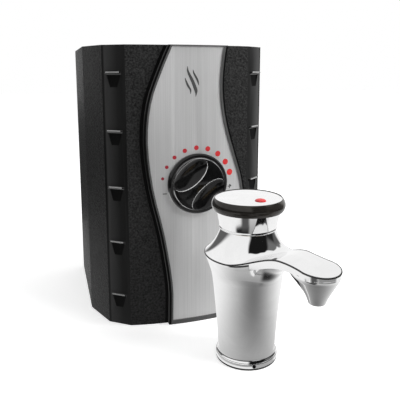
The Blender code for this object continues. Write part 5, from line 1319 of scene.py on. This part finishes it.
band = dress(make_band(), "button_cap")
print("the band has", len(band.data.polygons), "faces")

# %% [markdown]
# The disc is crowned by a quarter of a millimetre, so that its mirror image of the sky isn't dead flat,
# and its edge is broken. The red dot is a small dome of enamel that shows where the hot water comes out.

# %% Button: bright disc and red dot
DISC_CROWN = 0.25 * MM
DISC_EDGE_SHARE = 0.985
DISC_EDGE_DROP = 2.2 * DISC_CROWN
DISC_STEPS = 12
DOT_LOW, DOT_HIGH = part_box("button_dot")
DOT_RADIUS = 5 * MM
DOT_DOME = 1.9 * MM
DOT_SHARES = (0, 0.2, 0.4, 0.6, 0.75, 0.87, 0.95, 0.99, 1)
DOT_STEPS = 48
DOT_PLACE = (DOT_LOW + DOT_HIGH).to_2d() / 2
SPOUT_TURN = math.atan2(*(DOT_PLACE - FAUCET_AXIS).yx)
disc_top = [
    (DISC_RADIUS * share, DISC_HIGH.z - DISC_CROWN * share**2)
    for share in spread(0, DISC_EDGE_SHARE, DISC_STEPS)
]
disc_side = [(DISC_RADIUS, DISC_HIGH.z - DISC_EDGE_DROP), (DISC_RADIUS, DISC_LOW.z), (0, DISC_LOW.z)]
disc = turned("bright_disc", disc_top + disc_side, FAUCET_BASE, CHROME_STEPS, closed=False)
dress(disc, "button_disc")
dot_profile = [
    (DOT_RADIUS * share, DOT_HIGH.z + DOT_DOME * math.sqrt(1 - share**2)) for share in DOT_SHARES
]
dot_profile += [(DOT_RADIUS, DOT_LOW.z), (0, DOT_LOW.z)]
dress(turned("red_dot", dot_profile, Vector((*DOT_PLACE, 0)), DOT_STEPS, closed=False), "button_dot")
print("the spout points", round(math.degrees(SPOUT_TURN), 1), "degrees round from the right")

# %% [markdown]
# ## The cast body
# The body is one skin through rings: from the neck out over the shoulder and spout to the rim, and back
# under them to the column and its foot. The part builds it from the same formulas with fewer rings. First
# comes the rim as seen from above: the tip's half circle, a smooth side and the round back.

# %% The rim seen from above
TIP_STATIONS = 20
SIDE_STATIONS = 90
BACK_STATIONS = 46
SPOUT_REACH = 83.4 * MM
TIP_RADIUS = 18 * MM
SHOULDER_RADIUS = 39.6 * MM
NECK_TURN = math.radians(55)
SIDE_PULL = 28 * MM
SIDE_WAIST = 4.2 * MM
SHOULDER_PULL = 14 * MM


def rim_half():
    """The rim from the spout's tip round one side to the back of the shoulder."""
    tip = [
        Vector((SPOUT_REACH + TIP_RADIUS * math.cos(turn), TIP_RADIUS * math.sin(turn)))
        for turn in spread(0, math.pi / 2, TIP_STATIONS)
    ]
    start = tip[-1]
    end = SHOULDER_RADIUS * Vector((math.cos(NECK_TURN), math.sin(NECK_TURN)))
    first = start - Vector((SIDE_PULL, SIDE_WAIST))
    second = end + SHOULDER_PULL * Vector((math.sin(NECK_TURN), -math.cos(NECK_TURN)))
    side = []
    for share in spread(0, 1, SIDE_STATIONS):
        rest = 1 - share
        point = start * rest**3 + first * 3 * rest**2 * share
        side.append(point + second * 3 * rest * share**2 + end * share**3)
    back = [
        SHOULDER_RADIUS * Vector((math.cos(turn), math.sin(turn)))
        for turn in spread(NECK_TURN, math.pi, BACK_STATIONS)
    ]
    return tip[:-1] + side[:-1] + back


RIM_HALF = rim_half()


def rim_stations():
    """Each station is its rim point and the direction that its circles take."""
    turns = spread(0, NECK_TURN, TIP_STATIONS + SIDE_STATIONS)[:-1]
    turns += spread(NECK_TURN, math.pi, BACK_STATIONS)
    one_side = list(zip(RIM_HALF, turns))
    other_side = [(Vector((rim.x, -rim.y)), -turn) for rim, turn in one_side[1:-1]]
    return one_side + other_side[::-1]


def side_width(reach):
    """Half the spout's width in plan at a reach from the axis."""
    for outer, inner in zip(RIM_HALF, RIM_HALF[1:]):
        if inner.x <= reach <= outer.x and outer.x > inner.x:
            share = (outer.x - reach) / (outer.x - inner.x)
            return outer.y + (inner.y - outer.y) * share
    return SHOULDER_RADIUS


print("the rim has", len(rim_stations()), "stations")

# %% [markdown]
# The rim lies level round the shoulder, swells towards the spout's peak and dips to the tip. Its height
# depends on the reach from the axis alone, so that both sides of the spout match.

# %% Height of the rim
SHOULDER_HEIGHT = 101.7 * MM
SWELL = 13.3 * MM
SWELL_START = 12.3 * MM
PEAK_REACH = 59.3 * MM
DIP = 2.8 * MM


def smooth_step(value, low, high):
    """0 below low, 1 above high and an even curve between them."""
    share = min(max((value - low) / (high - low), 0), 1)
    return share * share * (3 - 2 * share)


def rim_height(reach):
    if reach < PEAK_REACH:
        return SHOULDER_HEIGHT + SWELL * smooth_step(reach, SWELL_START, PEAK_REACH)
    past_peak = (reach - PEAK_REACH) / (SPOUT_REACH + TIP_RADIUS - PEAK_REACH)
    return SHOULDER_HEIGHT + SWELL - DIP * past_peak**2


def nearness_to_rim(reach, aside):
    """0 on the spout's middle line and 1 on its rim."""
    if reach > SPOUT_REACH:
        return min(math.hypot(reach - SPOUT_REACH, aside) / TIP_RADIUS, 1)
    return min(abs(aside) / side_width(reach), 1)


print("the spout's peak stands at", round(rim_height(PEAK_REACH) / MM, 1), "mm")

# %% [markdown]
# Between its rims the spout is slightly crowned. At the neck the upper surface flares up like the foot of
# a stem, more tightly ahead, towards the spout, than at the sides. Distances are taken from the axis in
# each direction, so that no crease runs down the spout.

# %% Height of the upper surface
CROWN = 2.2 * MM
TIP_CROWN = 1.6 * MM
CROWN_START = 44 * MM
CROWN_FULL = 70 * MM
NECK_RADIUS = 25.1 * MM
NECK_HEIGHT = 124.1 * MM
NECK_FLARE = 10 * MM
NECK_FLARE_AHEAD = 4 * MM
AHEAD_TURN = math.radians(20)
SIDE_TURN = math.radians(62)
RIM_HEADINGS = [math.atan2(rim.y, rim.x) for rim in RIM_HALF]


def rim_distance(heading):
    """How far from the axis the rim lies in a direction."""
    index = min(bisect.bisect_left(RIM_HEADINGS, heading, 1), len(RIM_HALF) - 1)
    before, after = RIM_HEADINGS[index - 1], RIM_HEADINGS[index]
    share = (heading - before) / (after - before)
    return RIM_HALF[index - 1].length * (1 - share) + RIM_HALF[index].length * share


def top_height(reach, aside):
    """Height of the upper surface. Its flare at the neck is tighter towards the spout."""
    crown = CROWN * smooth_step(reach, CROWN_START, CROWN_FULL)
    crown += (TIP_CROWN - CROWN) * smooth_step(reach, PEAK_REACH, SPOUT_REACH)
    base = rim_height(reach) + crown * (1 - nearness_to_rim(reach, aside) ** 2)
    heading = abs(math.atan2(aside, reach))
    sideways = smooth_step(heading, AHEAD_TURN, SIDE_TURN)
    length = between_ends(NECK_FLARE_AHEAD, NECK_FLARE, sideways)
    last = math.exp((NECK_RADIUS - rim_distance(heading)) / length)
    flare = math.exp((NECK_RADIUS - math.hypot(reach, aside)) / length)
    flare = (flare - last) / (1 - last)
    return base + (NECK_HEIGHT - base) * flare


print("the neck's top stands at", round(NECK_HEIGHT / MM, 1), "mm")

# %% [markdown]
# The underside is a flare from the column to the shoulder's rim. Under the spout it becomes an arch
# instead, whose belly hangs between the two sides, and the two shapes merge on the way round the column.

# %% Height of the lower surface
EDGE_LAND = 0.8 * MM
JOIN_RADIUS = 32.8 * MM
JOIN_HEIGHT = 81 * MM
UNDERSIDE = 105.3 * MM
ARCH = 12.3 * MM
SIDE_DROP_SHARE = 0.55
UNDER_FLARE_BEND = 0.85
MERGE_TURN = math.radians(95)


def under_height(reach, aside, share, spout_share):
    """Height of the lower surface, share of the way from the column to the rim."""
    rim = rim_height(reach) - EDGE_LAND
    flare = between_ends(JOIN_HEIGHT, rim, share**UNDER_FLARE_BEND)
    away = math.hypot(reach, aside) - JOIN_RADIUS
    arch = UNDERSIDE - (UNDERSIDE - JOIN_HEIGHT) * math.exp(-away / ARCH)
    side_foot = rim - SIDE_DROP_SHARE * (rim - arch)
    belly = arch + (side_foot - arch) * nearness_to_rim(reach, aside) ** 2
    return flare + (belly - flare) * spout_share


print("the arch rises to", round(UNDERSIDE / MM, 1), "mm")

# %% [markdown]
# Rings run from a circle to the rim, above and below. They lie close together by the circle, where the
# surface bends most, and grow wider apart towards the rim, so that few faces give a smooth mirror.

# %% Rings between a circle and the rim
def ring_between(radius, share, height_of, first_share, first_step, last_step):
    """A ring part of the way from a circle to the rim, at the height that height_of gives each point."""
    ring = []
    for rim, turn in rim_stations():
        start = radius * Vector((math.cos(turn), math.sin(turn)))
        run = (rim - start).length
        bend = math.log((run - last_step) / first_step) / math.log(1 / first_share)
        across = (1 - last_step / run) * share**bend
        place = start.lerp(rim, across)
        ring.append((place.x, place.y, height_of(place, across, turn)))
    return ring


def circle(radius, height):
    return [(radius * math.cos(turn), radius * math.sin(turn), height) for _, turn in rim_stations()]


def on_top(place, share, turn):
    return top_height(place.x, place.y)


def beneath(place, share, turn):
    spout_share = 1 - smooth_step(abs(turn), NECK_TURN / 2, MERGE_TURN)
    return under_height(place.x, place.y, share, spout_share)


# %% [markdown]
# The column adds plain circles, whose radii follow a smooth curve through a few measured points. Its foot
# turns out again in a short cove, which gets a curve of its own.

# %% Rings of the whole skin
TOP_RINGS = 64
UNDER_RINGS = 26
FIRST_TOP_STEP = 0.35 * MM
FIRST_UNDER_STEP = 0.6 * MM
LAST_UNDER_STEP = 0.5 * MM
COLUMN = (
    (JOIN_RADIUS, JOIN_HEIGHT), (31.2 * MM, 68 * MM), (28.4 * MM, 39 * MM), (26.6 * MM, 12.5 * MM),
    (26.8 * MM, 8.4 * MM), (28.1 * MM, 6.4 * MM),
)
FOOT_START = 3
COLUMN_STEPS = 8
FOOT_STEPS = 4


def body_rings():
    top_shares = spread(0, 1, TOP_RINGS)[1:-1]
    under_shares = spread(0, 1, UNDER_RINGS)[:0:-1]
    rings = [circle(NECK_RADIUS, NECK_HEIGHT)]
    for share in top_shares:
        rings.append(ring_between(NECK_RADIUS, share, on_top, top_shares[0], FIRST_TOP_STEP, 0))
    lip = [(rim.x, rim.y, rim_height(rim.x)) for rim, _ in rim_stations()]
    rings.append(lip)
    rings.append([(x, y, z - EDGE_LAND) for x, y, z in lip])
    for share in under_shares:
        rings.append(ring_between(
            JOIN_RADIUS, share, beneath, under_shares[-1], FIRST_UNDER_STEP, LAST_UNDER_STEP,
        ))
    column = smooth_curve(COLUMN[:FOOT_START + 1], COLUMN_STEPS)
    column += smooth_curve(COLUMN[FOOT_START:], FOOT_STEPS)[1:]
    return rings + [circle(radius, height) for radius, height in column]


BODY_RINGS = body_rings()
print("the skin has", len(BODY_RINGS), "rings of", len(BODY_RINGS[0]), "points")

# %% [markdown]
# The beak under the spout's tip is drawn out towards the column into the web that carries it, and has a
# short bore at its mouth. Beak and body are made as two closed skins and joined by a Boolean modifier,
# since they meet in a curve that no single grid of rings could follow.

# %% Body and beak joined
MOUTH_HEIGHT = 84.4 * MM
MOUTH_RADIUS = 6.5 * MM
MOUTH_LIP = ((0.5 * MM, 0.6 * MM), (-0.1 * MM, 0))
BEAK_HEIGHT = 26.4 * MM
BEAK_SHARES = (
    (1, 0.965), (0.94, 0.985), (0.86, 0.98), (0.78, 0.94), (0.69, 0.87), (0.55, 0.76), (0.4, 0.64),
    (0.23, 0.51), (0.09, 0.42),
)
BEAK_STEPS = 4
BEAK_SIDES = 96
WEB_REACH = 11 * MM
WEB_START = 0.25
WEB_FULL = 0.95
WEB_BEND = 1.5
BORE_RADIUS = 5.6 * MM
BORE_DEPTH = 8 * MM


def skin(name, rings):
    """A closed surface through rings of as many points each."""
    shape = bmesh.new()
    join_rings(shape, [[shape.verts.new(place) for place in ring] for ring in rings])
    return piece_from(shape, name)


def beak_ring(radius, height):
    """A circle under the spout's tip, drawn out on the column's side into the web."""
    up = (height - MOUTH_HEIGHT) / BEAK_HEIGHT
    back = radius + WEB_REACH * smooth_step(up, WEB_START, WEB_FULL) ** WEB_BEND
    ring = []
    for turn in spread(0, math.tau, BEAK_SIDES)[:-1]:
        reach = radius if math.cos(turn) > 0 else back
        ring.append((SPOUT_REACH + reach * math.cos(turn), radius * math.sin(turn), height))
    return ring


def make_beak():
    measured = [(TIP_RADIUS * across, MOUTH_HEIGHT + BEAK_HEIGHT * up) for up, across in BEAK_SHARES]
    outline = smooth_curve(measured, BEAK_STEPS)
    outline += [(MOUTH_RADIUS + out, MOUTH_HEIGHT + up) for out, up in MOUTH_LIP]
    rings = [beak_ring(*point) for point in [*outline, (BORE_RADIUS, MOUTH_HEIGHT)]]
    bore = [(x, y, z + BORE_DEPTH) for x, y, z in rings[-1]]
    return skin("beak", [*rings, bore])


ON_FAUCET = Matrix.Translation(FAUCET_BASE) @ Matrix.Rotation(SPOUT_TURN, 4, "Z")
body = combined(skin("cast_body", BODY_RINGS), make_beak(), "UNION")
body.data.transform(ON_FAUCET)
dress(body, "faucet_body")
print("the cast body has", len(body.data.polygons), "faces")

# %% [markdown]
# A rounded lip runs round the shoulder and the spout. It mirrors the dark floor line of the room, and its
# chrome is darkened as a painted dark reflection, so it reads as a fine dark outline. A round wire along
# the rim, half sunk in the edge, gives that lip.

# %% Lip round the rim
LIP_RADIUS = 0.75 * MM
LIP_INSET = 0.35 * MM
LIP_SIDES = 10


def make_lip():
    rims = [rim for rim, _ in rim_stations()]
    shape = bmesh.new()
    rings = []
    for index, rim in enumerate(rims):
        along = (rims[(index + 1) % len(rims)] - rims[index - 1]).normalized()
        outward = Vector((along.y, -along.x, 0))
        centre = Vector((rim.x, rim.y, rim_height(rim.x) - EDGE_LAND / 2)) - outward * LIP_INSET
        rings.append(around(shape, centre, outward, LIP_RADIUS, LIP_SIDES))
    join_rings(shape, rings, closed=True)
    lip = piece_from(shape, "rim_lip")
    lip.data.transform(ON_FAUCET)
    return lip


# The lip carries a painted dark reflection.
lip = add_detail(make_lip(), "housing", PAINTED_DARK_LIP_CHROME)
print("the lip has", len(lip.data.polygons), "faces")

# %% [markdown]
# ## The studio
# Everything stands on white card before a white background. The camera, mirrors and clear things see floor
# and world as white, but the light that both throw on the set is weaker, so that the black case keeps its
# depth. The Light Path node tells these rays apart.

# %% What is seen and what lights
def add_seen_factor(tree):
    """1 for rays from the camera, from mirrors and through glass, and 0 for light on things."""
    path = add_node(tree, "ShaderNodeLightPath")
    seen = add_node(tree, "ShaderNodeMath", operation="MAXIMUM")
    join(tree, path, "Is Camera Ray", seen, 0)
    join(tree, path, "Is Glossy Ray", seen, 1)
    seen_through = add_node(tree, "ShaderNodeMath", operation="MAXIMUM")
    join(tree, seen, "Value", seen_through, 0)
    join(tree, path, "Is Transmission Ray", seen_through, 1)
    return seen_through


# %% [markdown]
# The floor is pale and keeps the set's soft shadow. It glows a little by itself, and more with distance,
# so that it runs into the white background without an edge.

# %% Floor
FLOOR_DROP = 0.2 * MM
FLOOR_HALF = 6.0
FLOOR_GLOW = 0.58
FAR_GLOW = 0.7
GLOW_REACH = (0.35, 1.4)


def make_floor_paint():
    """White card with a little glow of its own, which grows with distance so that it has no far edge."""
    material, tree, shader = new_finish("floor_paint", grey(0.8), 0.9)
    place = add_node(tree, "ShaderNodeTexCoord")
    far = add_node(tree, "ShaderNodeVectorMath", operation="LENGTH")
    join(tree, place, "Object", far, 0)
    ramp = add_node(tree, "ShaderNodeMapRange", interpolation_type="SMOOTHSTEP")
    join(tree, far, "Value", ramp, "Value")
    ramp.inputs["From Min"].default_value, ramp.inputs["From Max"].default_value = GLOW_REACH
    ramp.inputs["To Min"].default_value = FLOOR_GLOW
    ramp.inputs["To Max"].default_value = FAR_GLOW
    strength = add_node(tree, "ShaderNodeMath", operation="MULTIPLY")
    join(tree, add_seen_factor(tree), "Value", strength, 0)
    join(tree, ramp, "Result", strength, 1)
    glow = add_node(tree, "ShaderNodeEmission")
    join(tree, strength, "Value", glow, "Strength")
    total = add_node(tree, "ShaderNodeAddShader")
    tree.links.new(shader.outputs["BSDF"], total.inputs[0])
    tree.links.new(glow.outputs["Emission"], total.inputs[1])
    tree.links.new(total.outputs["Shader"], tree.nodes["Material Output"].inputs["Surface"])
    return material


def make_floor():
    corners = [
        (x * FLOOR_HALF, y * FLOOR_HALF, -FLOOR_DROP) for x, y in ((-1, -1), (1, -1), (1, 1), (-1, 1))
    ]
    mesh = bpy.data.meshes.new("floor")
    mesh.from_pydata(corners, [], [(0, 1, 2, 3)])
    mesh.materials.append(make_floor_paint())
    return bpy.data.objects.new("floor", mesh)


floor = make_floor()
link(floor)
floor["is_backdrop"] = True
print("the floor is", 2 * FLOOR_HALF, "m wide")

# %% [markdown]
# The world is the white background. It also sends a weak even light from all sides, which fills the
# shadows of the black case without washing them out.

# %% World
WORLD_LIGHT = 0.3


def make_world():
    world = bpy.data.worlds.new("studio")
    bpy.context.scene.world = world
    world.use_nodes = True
    tree = world.node_tree
    span = add_node(tree, "ShaderNodeMapRange")
    join(tree, add_seen_factor(tree), "Value", span, "Value")
    span.inputs["To Min"].default_value = WORLD_LIGHT
    span.inputs["To Max"].default_value = 1.0
    background = tree.nodes["Background"]
    background.inputs["Color"].default_value = (1, 1, 1, 1)
    join(tree, span, "Result", background, "Strength")


make_world()
print("the world lights the set with", WORLD_LIGHT)

# %% [markdown]
# A large soft lamp stands at the upper right in front, and a wide one hangs above. Both are left out of
# mirrors, where the cards below take their place.

# %% Lamps
LAMP_AIM = Vector((0, -0.08, 0.13))
LAMPS = (
    ("key_lamp", (1.3, -1.0, 1.2), (1.0, 1.0), 36),
    ("top_lamp", (0.1, 0.1, 1.5), (1.2, 1.2), 9),
)


def add_lamp(name, place, size, power):
    """A soft lamp that points at the middle of the set."""
    data = bpy.data.lights.new(name, "AREA")
    data.shape = "RECTANGLE"
    data.size, data.size_y = size
    data.energy = power
    lamp = bpy.data.objects.new(name, data)
    lamp.location = place
    lamp.rotation_euler = (LAMP_AIM - Vector(place)).to_track_quat("-Z", "Y").to_euler()
    lamp.visible_glossy = False
    link(lamp)


for lamp in LAMPS:
    add_lamp(*lamp)
print("lamps:", [name for name, *_ in LAMPS])

# %% [markdown]
# ## Cards for the chrome
# Chrome only shows what stands round it. A photographer sets black and grey cards about it, out of view.
# The photograph was joined from two, so its chrome shows no tank behind it, and the tank is left out of
# what mirrors see, or the button's disc would show its dark front. The button and its collar are left out
# too, because the hollow where the spout leaves the shoulder would show them as a bundle of thin lines.

# %% What mirrors leave out
BEHIND_FAUCET = -0.12
ABOVE_NECK = NECK_HEIGHT - 5 * MM


def left_out(piece):
    """Whether a piece lies wholly behind the faucet or wholly above its neck."""
    corners = [piece.matrix_world @ Vector(corner) for corner in piece.bound_box]
    behind = min(corner.y for corner in corners) > BEHIND_FAUCET
    return behind or min(corner.z for corner in corners) > ABOVE_NECK


hidden = [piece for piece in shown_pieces() if left_out(piece)]
for piece in hidden:
    piece.visible_glossy = False
print("mirrors leave out", len(hidden), "pieces")

# %% [markdown]
# Real cards have soft edges in a mirror, because they stand near and out of focus. So each surface about
# the faucet is one sheet, and every card on it is a patch of shade with soft edges. The shade of each
# vertex is kept in a colour attribute that the sheet's Emission reads.

# %% Places about the faucet
TO_CAMERA = Vector(CAMERA_PLACE).to_2d() - FAUCET_AXIS
CAMERA_HEADING = math.atan2(TO_CAMERA.y, TO_CAMERA.x)
WALL_REACH = 0.5
WALL_HEIGHT = 1.3
EYE_HEIGHT = 0.1


def round_faucet(turn, distance, height):
    """A place about the faucet. Turn 0 is the camera's side, and turns to the right are positive."""
    heading = CAMERA_HEADING + math.radians(turn)
    place = FAUCET_AXIS + distance * Vector((math.cos(heading), math.sin(heading)))
    return Vector((place.x, place.y, height))


print("the camera stands", round(TO_CAMERA.length, 3), "m from the faucet")

# %% [markdown]
# A card is laid on a sheet by its limits in turn and in height or distance, the softness of both, and its
# shade. Cards are laid in order, as sheets of paper overlap, so a small bright one can lie on a dark one.

# %% Laying cards on a sheet
def soft_span(value, low, high, soft):
    """1 between low and high, 0 outside, with an even slope of width soft at both ends."""
    rise = smooth_step(value, low - soft / 2, low + soft / 2)
    return rise * (1 - smooth_step(value, high - soft / 2, high + soft / 2))


def patched(shade, turn, other, cards):
    """Lays cards (turns, turn softness, other limits, other softness, shade) over a shade in order."""
    for turns, turn_soft, limits, soft, card_shade in cards:
        cover = soft_span(turn, *turns, turn_soft) * soft_span(other, *limits, soft)
        shade += (card_shade - shade) * cover
    return shade


# %% [markdown]
# A sheet glows in the shade of its vertices. Where a card has to end softly without a sheet round it, the
# alpha of the colour attribute fades the glow into a Transparent shader.

# %% The paint of the sheets
def sheet_paint():
    material = bpy.data.materials.new("sheet_paint")
    material.use_nodes = True
    tree = material.node_tree
    tree.nodes.remove(tree.nodes["Principled BSDF"])
    shade = add_node(tree, "ShaderNodeAttribute", attribute_name="shade")
    glow = add_node(tree, "ShaderNodeEmission")
    join(tree, shade, "Color", glow, "Color")
    clear = add_node(tree, "ShaderNodeBsdfTransparent")
    blend = add_node(tree, "ShaderNodeMixShader")
    join(tree, shade, "Alpha", blend, "Fac")
    join(tree, clear, "BSDF", blend, 1)
    join(tree, glow, "Emission", blend, 2)
    join(tree, blend, "Shader", tree.nodes["Material Output"], "Surface")
    return material


SHEET_PAINT = sheet_paint()
print("made the paint", SHEET_PAINT.name)

# %% [markdown]
# A sheet is a grid of points. Its object is hidden from the camera, from soft light and from shadows, so
# only mirrors see it. Most sheets are laid out by turn about the faucet and by height or distance.

# %% Sheets that only mirrors see
def mirror_sheet(name, rows, shades):
    """A grid of points with a shade each, or a shade and a cover, which only mirrors see."""
    width = len(rows[0])
    points = [point for row in rows for point in row]
    faces = [
        (start + index, start + index + 1, start + width + index + 1, start + width + index)
        for start in range(0, (len(rows) - 1) * width, width)
        for index in range(width - 1)
    ]
    mesh = bpy.data.meshes.new(name)
    mesh.from_pydata(points, [], faces)
    attribute = mesh.color_attributes.new("shade", "FLOAT_COLOR", "POINT")
    for index, shade in enumerate(level for row in shades for level in row):
        level, cover = shade if isinstance(shade, tuple) else (shade, 1)
        attribute.data[index].color = (*grey(level), cover)
    mesh.materials.append(SHEET_PAINT)
    card = bpy.data.objects.new(name, mesh)
    card.visible_camera = False
    card.visible_diffuse = False
    card.visible_transmission = False
    card.visible_shadow = False
    link(card)
    card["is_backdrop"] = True
    print(name, "has", len(faces), "faces")


def polar_sheet(name, turns, steps, place, shade):
    """A sheet whose columns are turns about the faucet and whose rows are heights or distances."""
    mirror_sheet(
        name,
        [[place(turn, step) for turn in turns] for step in steps],
        [[shade(turn, step) for turn in turns] for step in steps],
    )


# %% [markdown]
# The wall is a white drum round the faucet with cards, each given by its turn and its elevation. A low
# grey band gives the column its grey body, darker cards on it draw the dark outlines, and a tall one gives
# the neck its dark streak. Rows lie closer together near the floor, where most of the chrome looks.

# %% The wall
WALL_CARDS = (
    ((-150, 130), 14, (-14, 13), 6, 0.12),
    ((68, 122), 10, (8, 42), 8, 0.17),
    ((-60, 112), 14, (-14, 4), 5, 0.02),
    ((12, 76), 13, (-14, 58), 9, 0.01),
    ((22, 54), 8, (-14, -5), 3, 0.95),
)
WALL_SPACING = 1.6
WALL_STEPS = (240, 70)
WALL_TURNS = spread(-180, 180, WALL_STEPS[0])
WALL_ROWS = [WALL_HEIGHT * share**WALL_SPACING for share in spread(0, 1, WALL_STEPS[1])]


def wall_place(turn, height):
    return round_faucet(turn, WALL_REACH, height)


def wall_shade(turn, height):
    elevation = math.degrees(math.atan2(height - EYE_HEIGHT, WALL_REACH))
    return patched(1, turn, elevation, WALL_CARDS)


polar_sheet("card_wall", WALL_TURNS, WALL_ROWS, wall_place, wall_shade)

# %% [markdown]
# The floor that mirrors see sweeps from grey in front to white behind. Its cards are given by turn and by
# distance from the axis: dark ones in front, and a bright rim close to the foot on both sides.

# %% The mirrored floor
SWEEP_TURN = 20
SWEEP_DISTANCE = 0.12
SWEEP_REACH = 0.24
SWEEP_DARKEST = 0.2
SHEET_HEIGHT = 0.3 * MM
FLOOR_CARDS = (
    ((-48, 4), 12, (0.16, 0.215), 0.02, 0.02),
    ((-24, 4), 12, (0.2, 0.42), 0.03, 0.1),
    ((4, 78), 14, (0.27, 0.46), 0.06, 0.3),
    ((-118, 14), 8, (0.02, 0.036), 0.003, 0.95),
    ((70, 118), 8, (0.02, 0.036), 0.003, 0.95),
)
FLOOR_START = 0.0288
FLOOR_SPACING = 1.8
FLOOR_STEPS = 80
FLOOR_ROWS = [
    between_ends(FLOOR_START, WALL_REACH, share**FLOOR_SPACING) for share in spread(0, 1, FLOOR_STEPS)
]
SWEEP_CENTRE = round_faucet(SWEEP_TURN, SWEEP_DISTANCE, SHEET_HEIGHT)


def floor_place(turn, distance):
    return round_faucet(turn, distance, SHEET_HEIGHT)


def floor_shade(turn, distance):
    far = (floor_place(turn, distance) - SWEEP_CENTRE).length / SWEEP_REACH
    shade = SWEEP_DARKEST + (1 - SWEEP_DARKEST) * smooth_step(far, 0, 1)
    return patched(shade, turn, distance, FLOOR_CARDS)


polar_sheet("card_floor", WALL_TURNS, FLOOR_ROWS, floor_place, floor_shade)

# %% [markdown]
# A plain dark card stands behind and to the left. The tank's smooth side and the left edge of the neck
# show it.

# %% The card behind
BEHIND_Y = 0.7
BEHIND_X = (-0.8, 0.06)
BEHIND_Z = (0.1, 0.95)
BEHIND_SHADE = 0.015
mirror_sheet(
    "card_behind",
    [[(x, BEHIND_Y, z) for x in BEHIND_X] for z in BEHIND_Z],
    [[BEHIND_SHADE] * len(BEHIND_X)] * len(BEHIND_Z),
)

# %% [markdown]
# A small dark card lies under the spout, close to the column. It gives the hollow of the arch its dark
# comma, darkest at the left end, and fades out all round so that its outline never shows.

# %% The card under the spout
ARCH_CARD_HEIGHT = 0.079
ARCH_CARD_TURNS = spread(14, 96, 40)
ARCH_CARD_ROWS = spread(0.0345, 0.06, 30)
ARCH_COVER_TURNS = (22, 84, 9)
ARCH_COVER_ROWS = (0.0362, 0.056, 0.0028)
ARCH_DARKEST = 0.01
ARCH_FADE = 0.3
ARCH_FADE_TURNS = (34, 62)


def arch_place(turn, distance):
    return round_faucet(turn, distance, ARCH_CARD_HEIGHT)


def arch_shade(turn, distance):
    """Shade and cover."""
    cover = soft_span(turn, *ARCH_COVER_TURNS) * soft_span(distance, *ARCH_COVER_ROWS)
    return ARCH_DARKEST + ARCH_FADE * smooth_step(turn, *ARCH_FADE_TURNS), cover


polar_sheet("card_under_spout", ARCH_CARD_TURNS, ARCH_CARD_ROWS, arch_place, arch_shade)
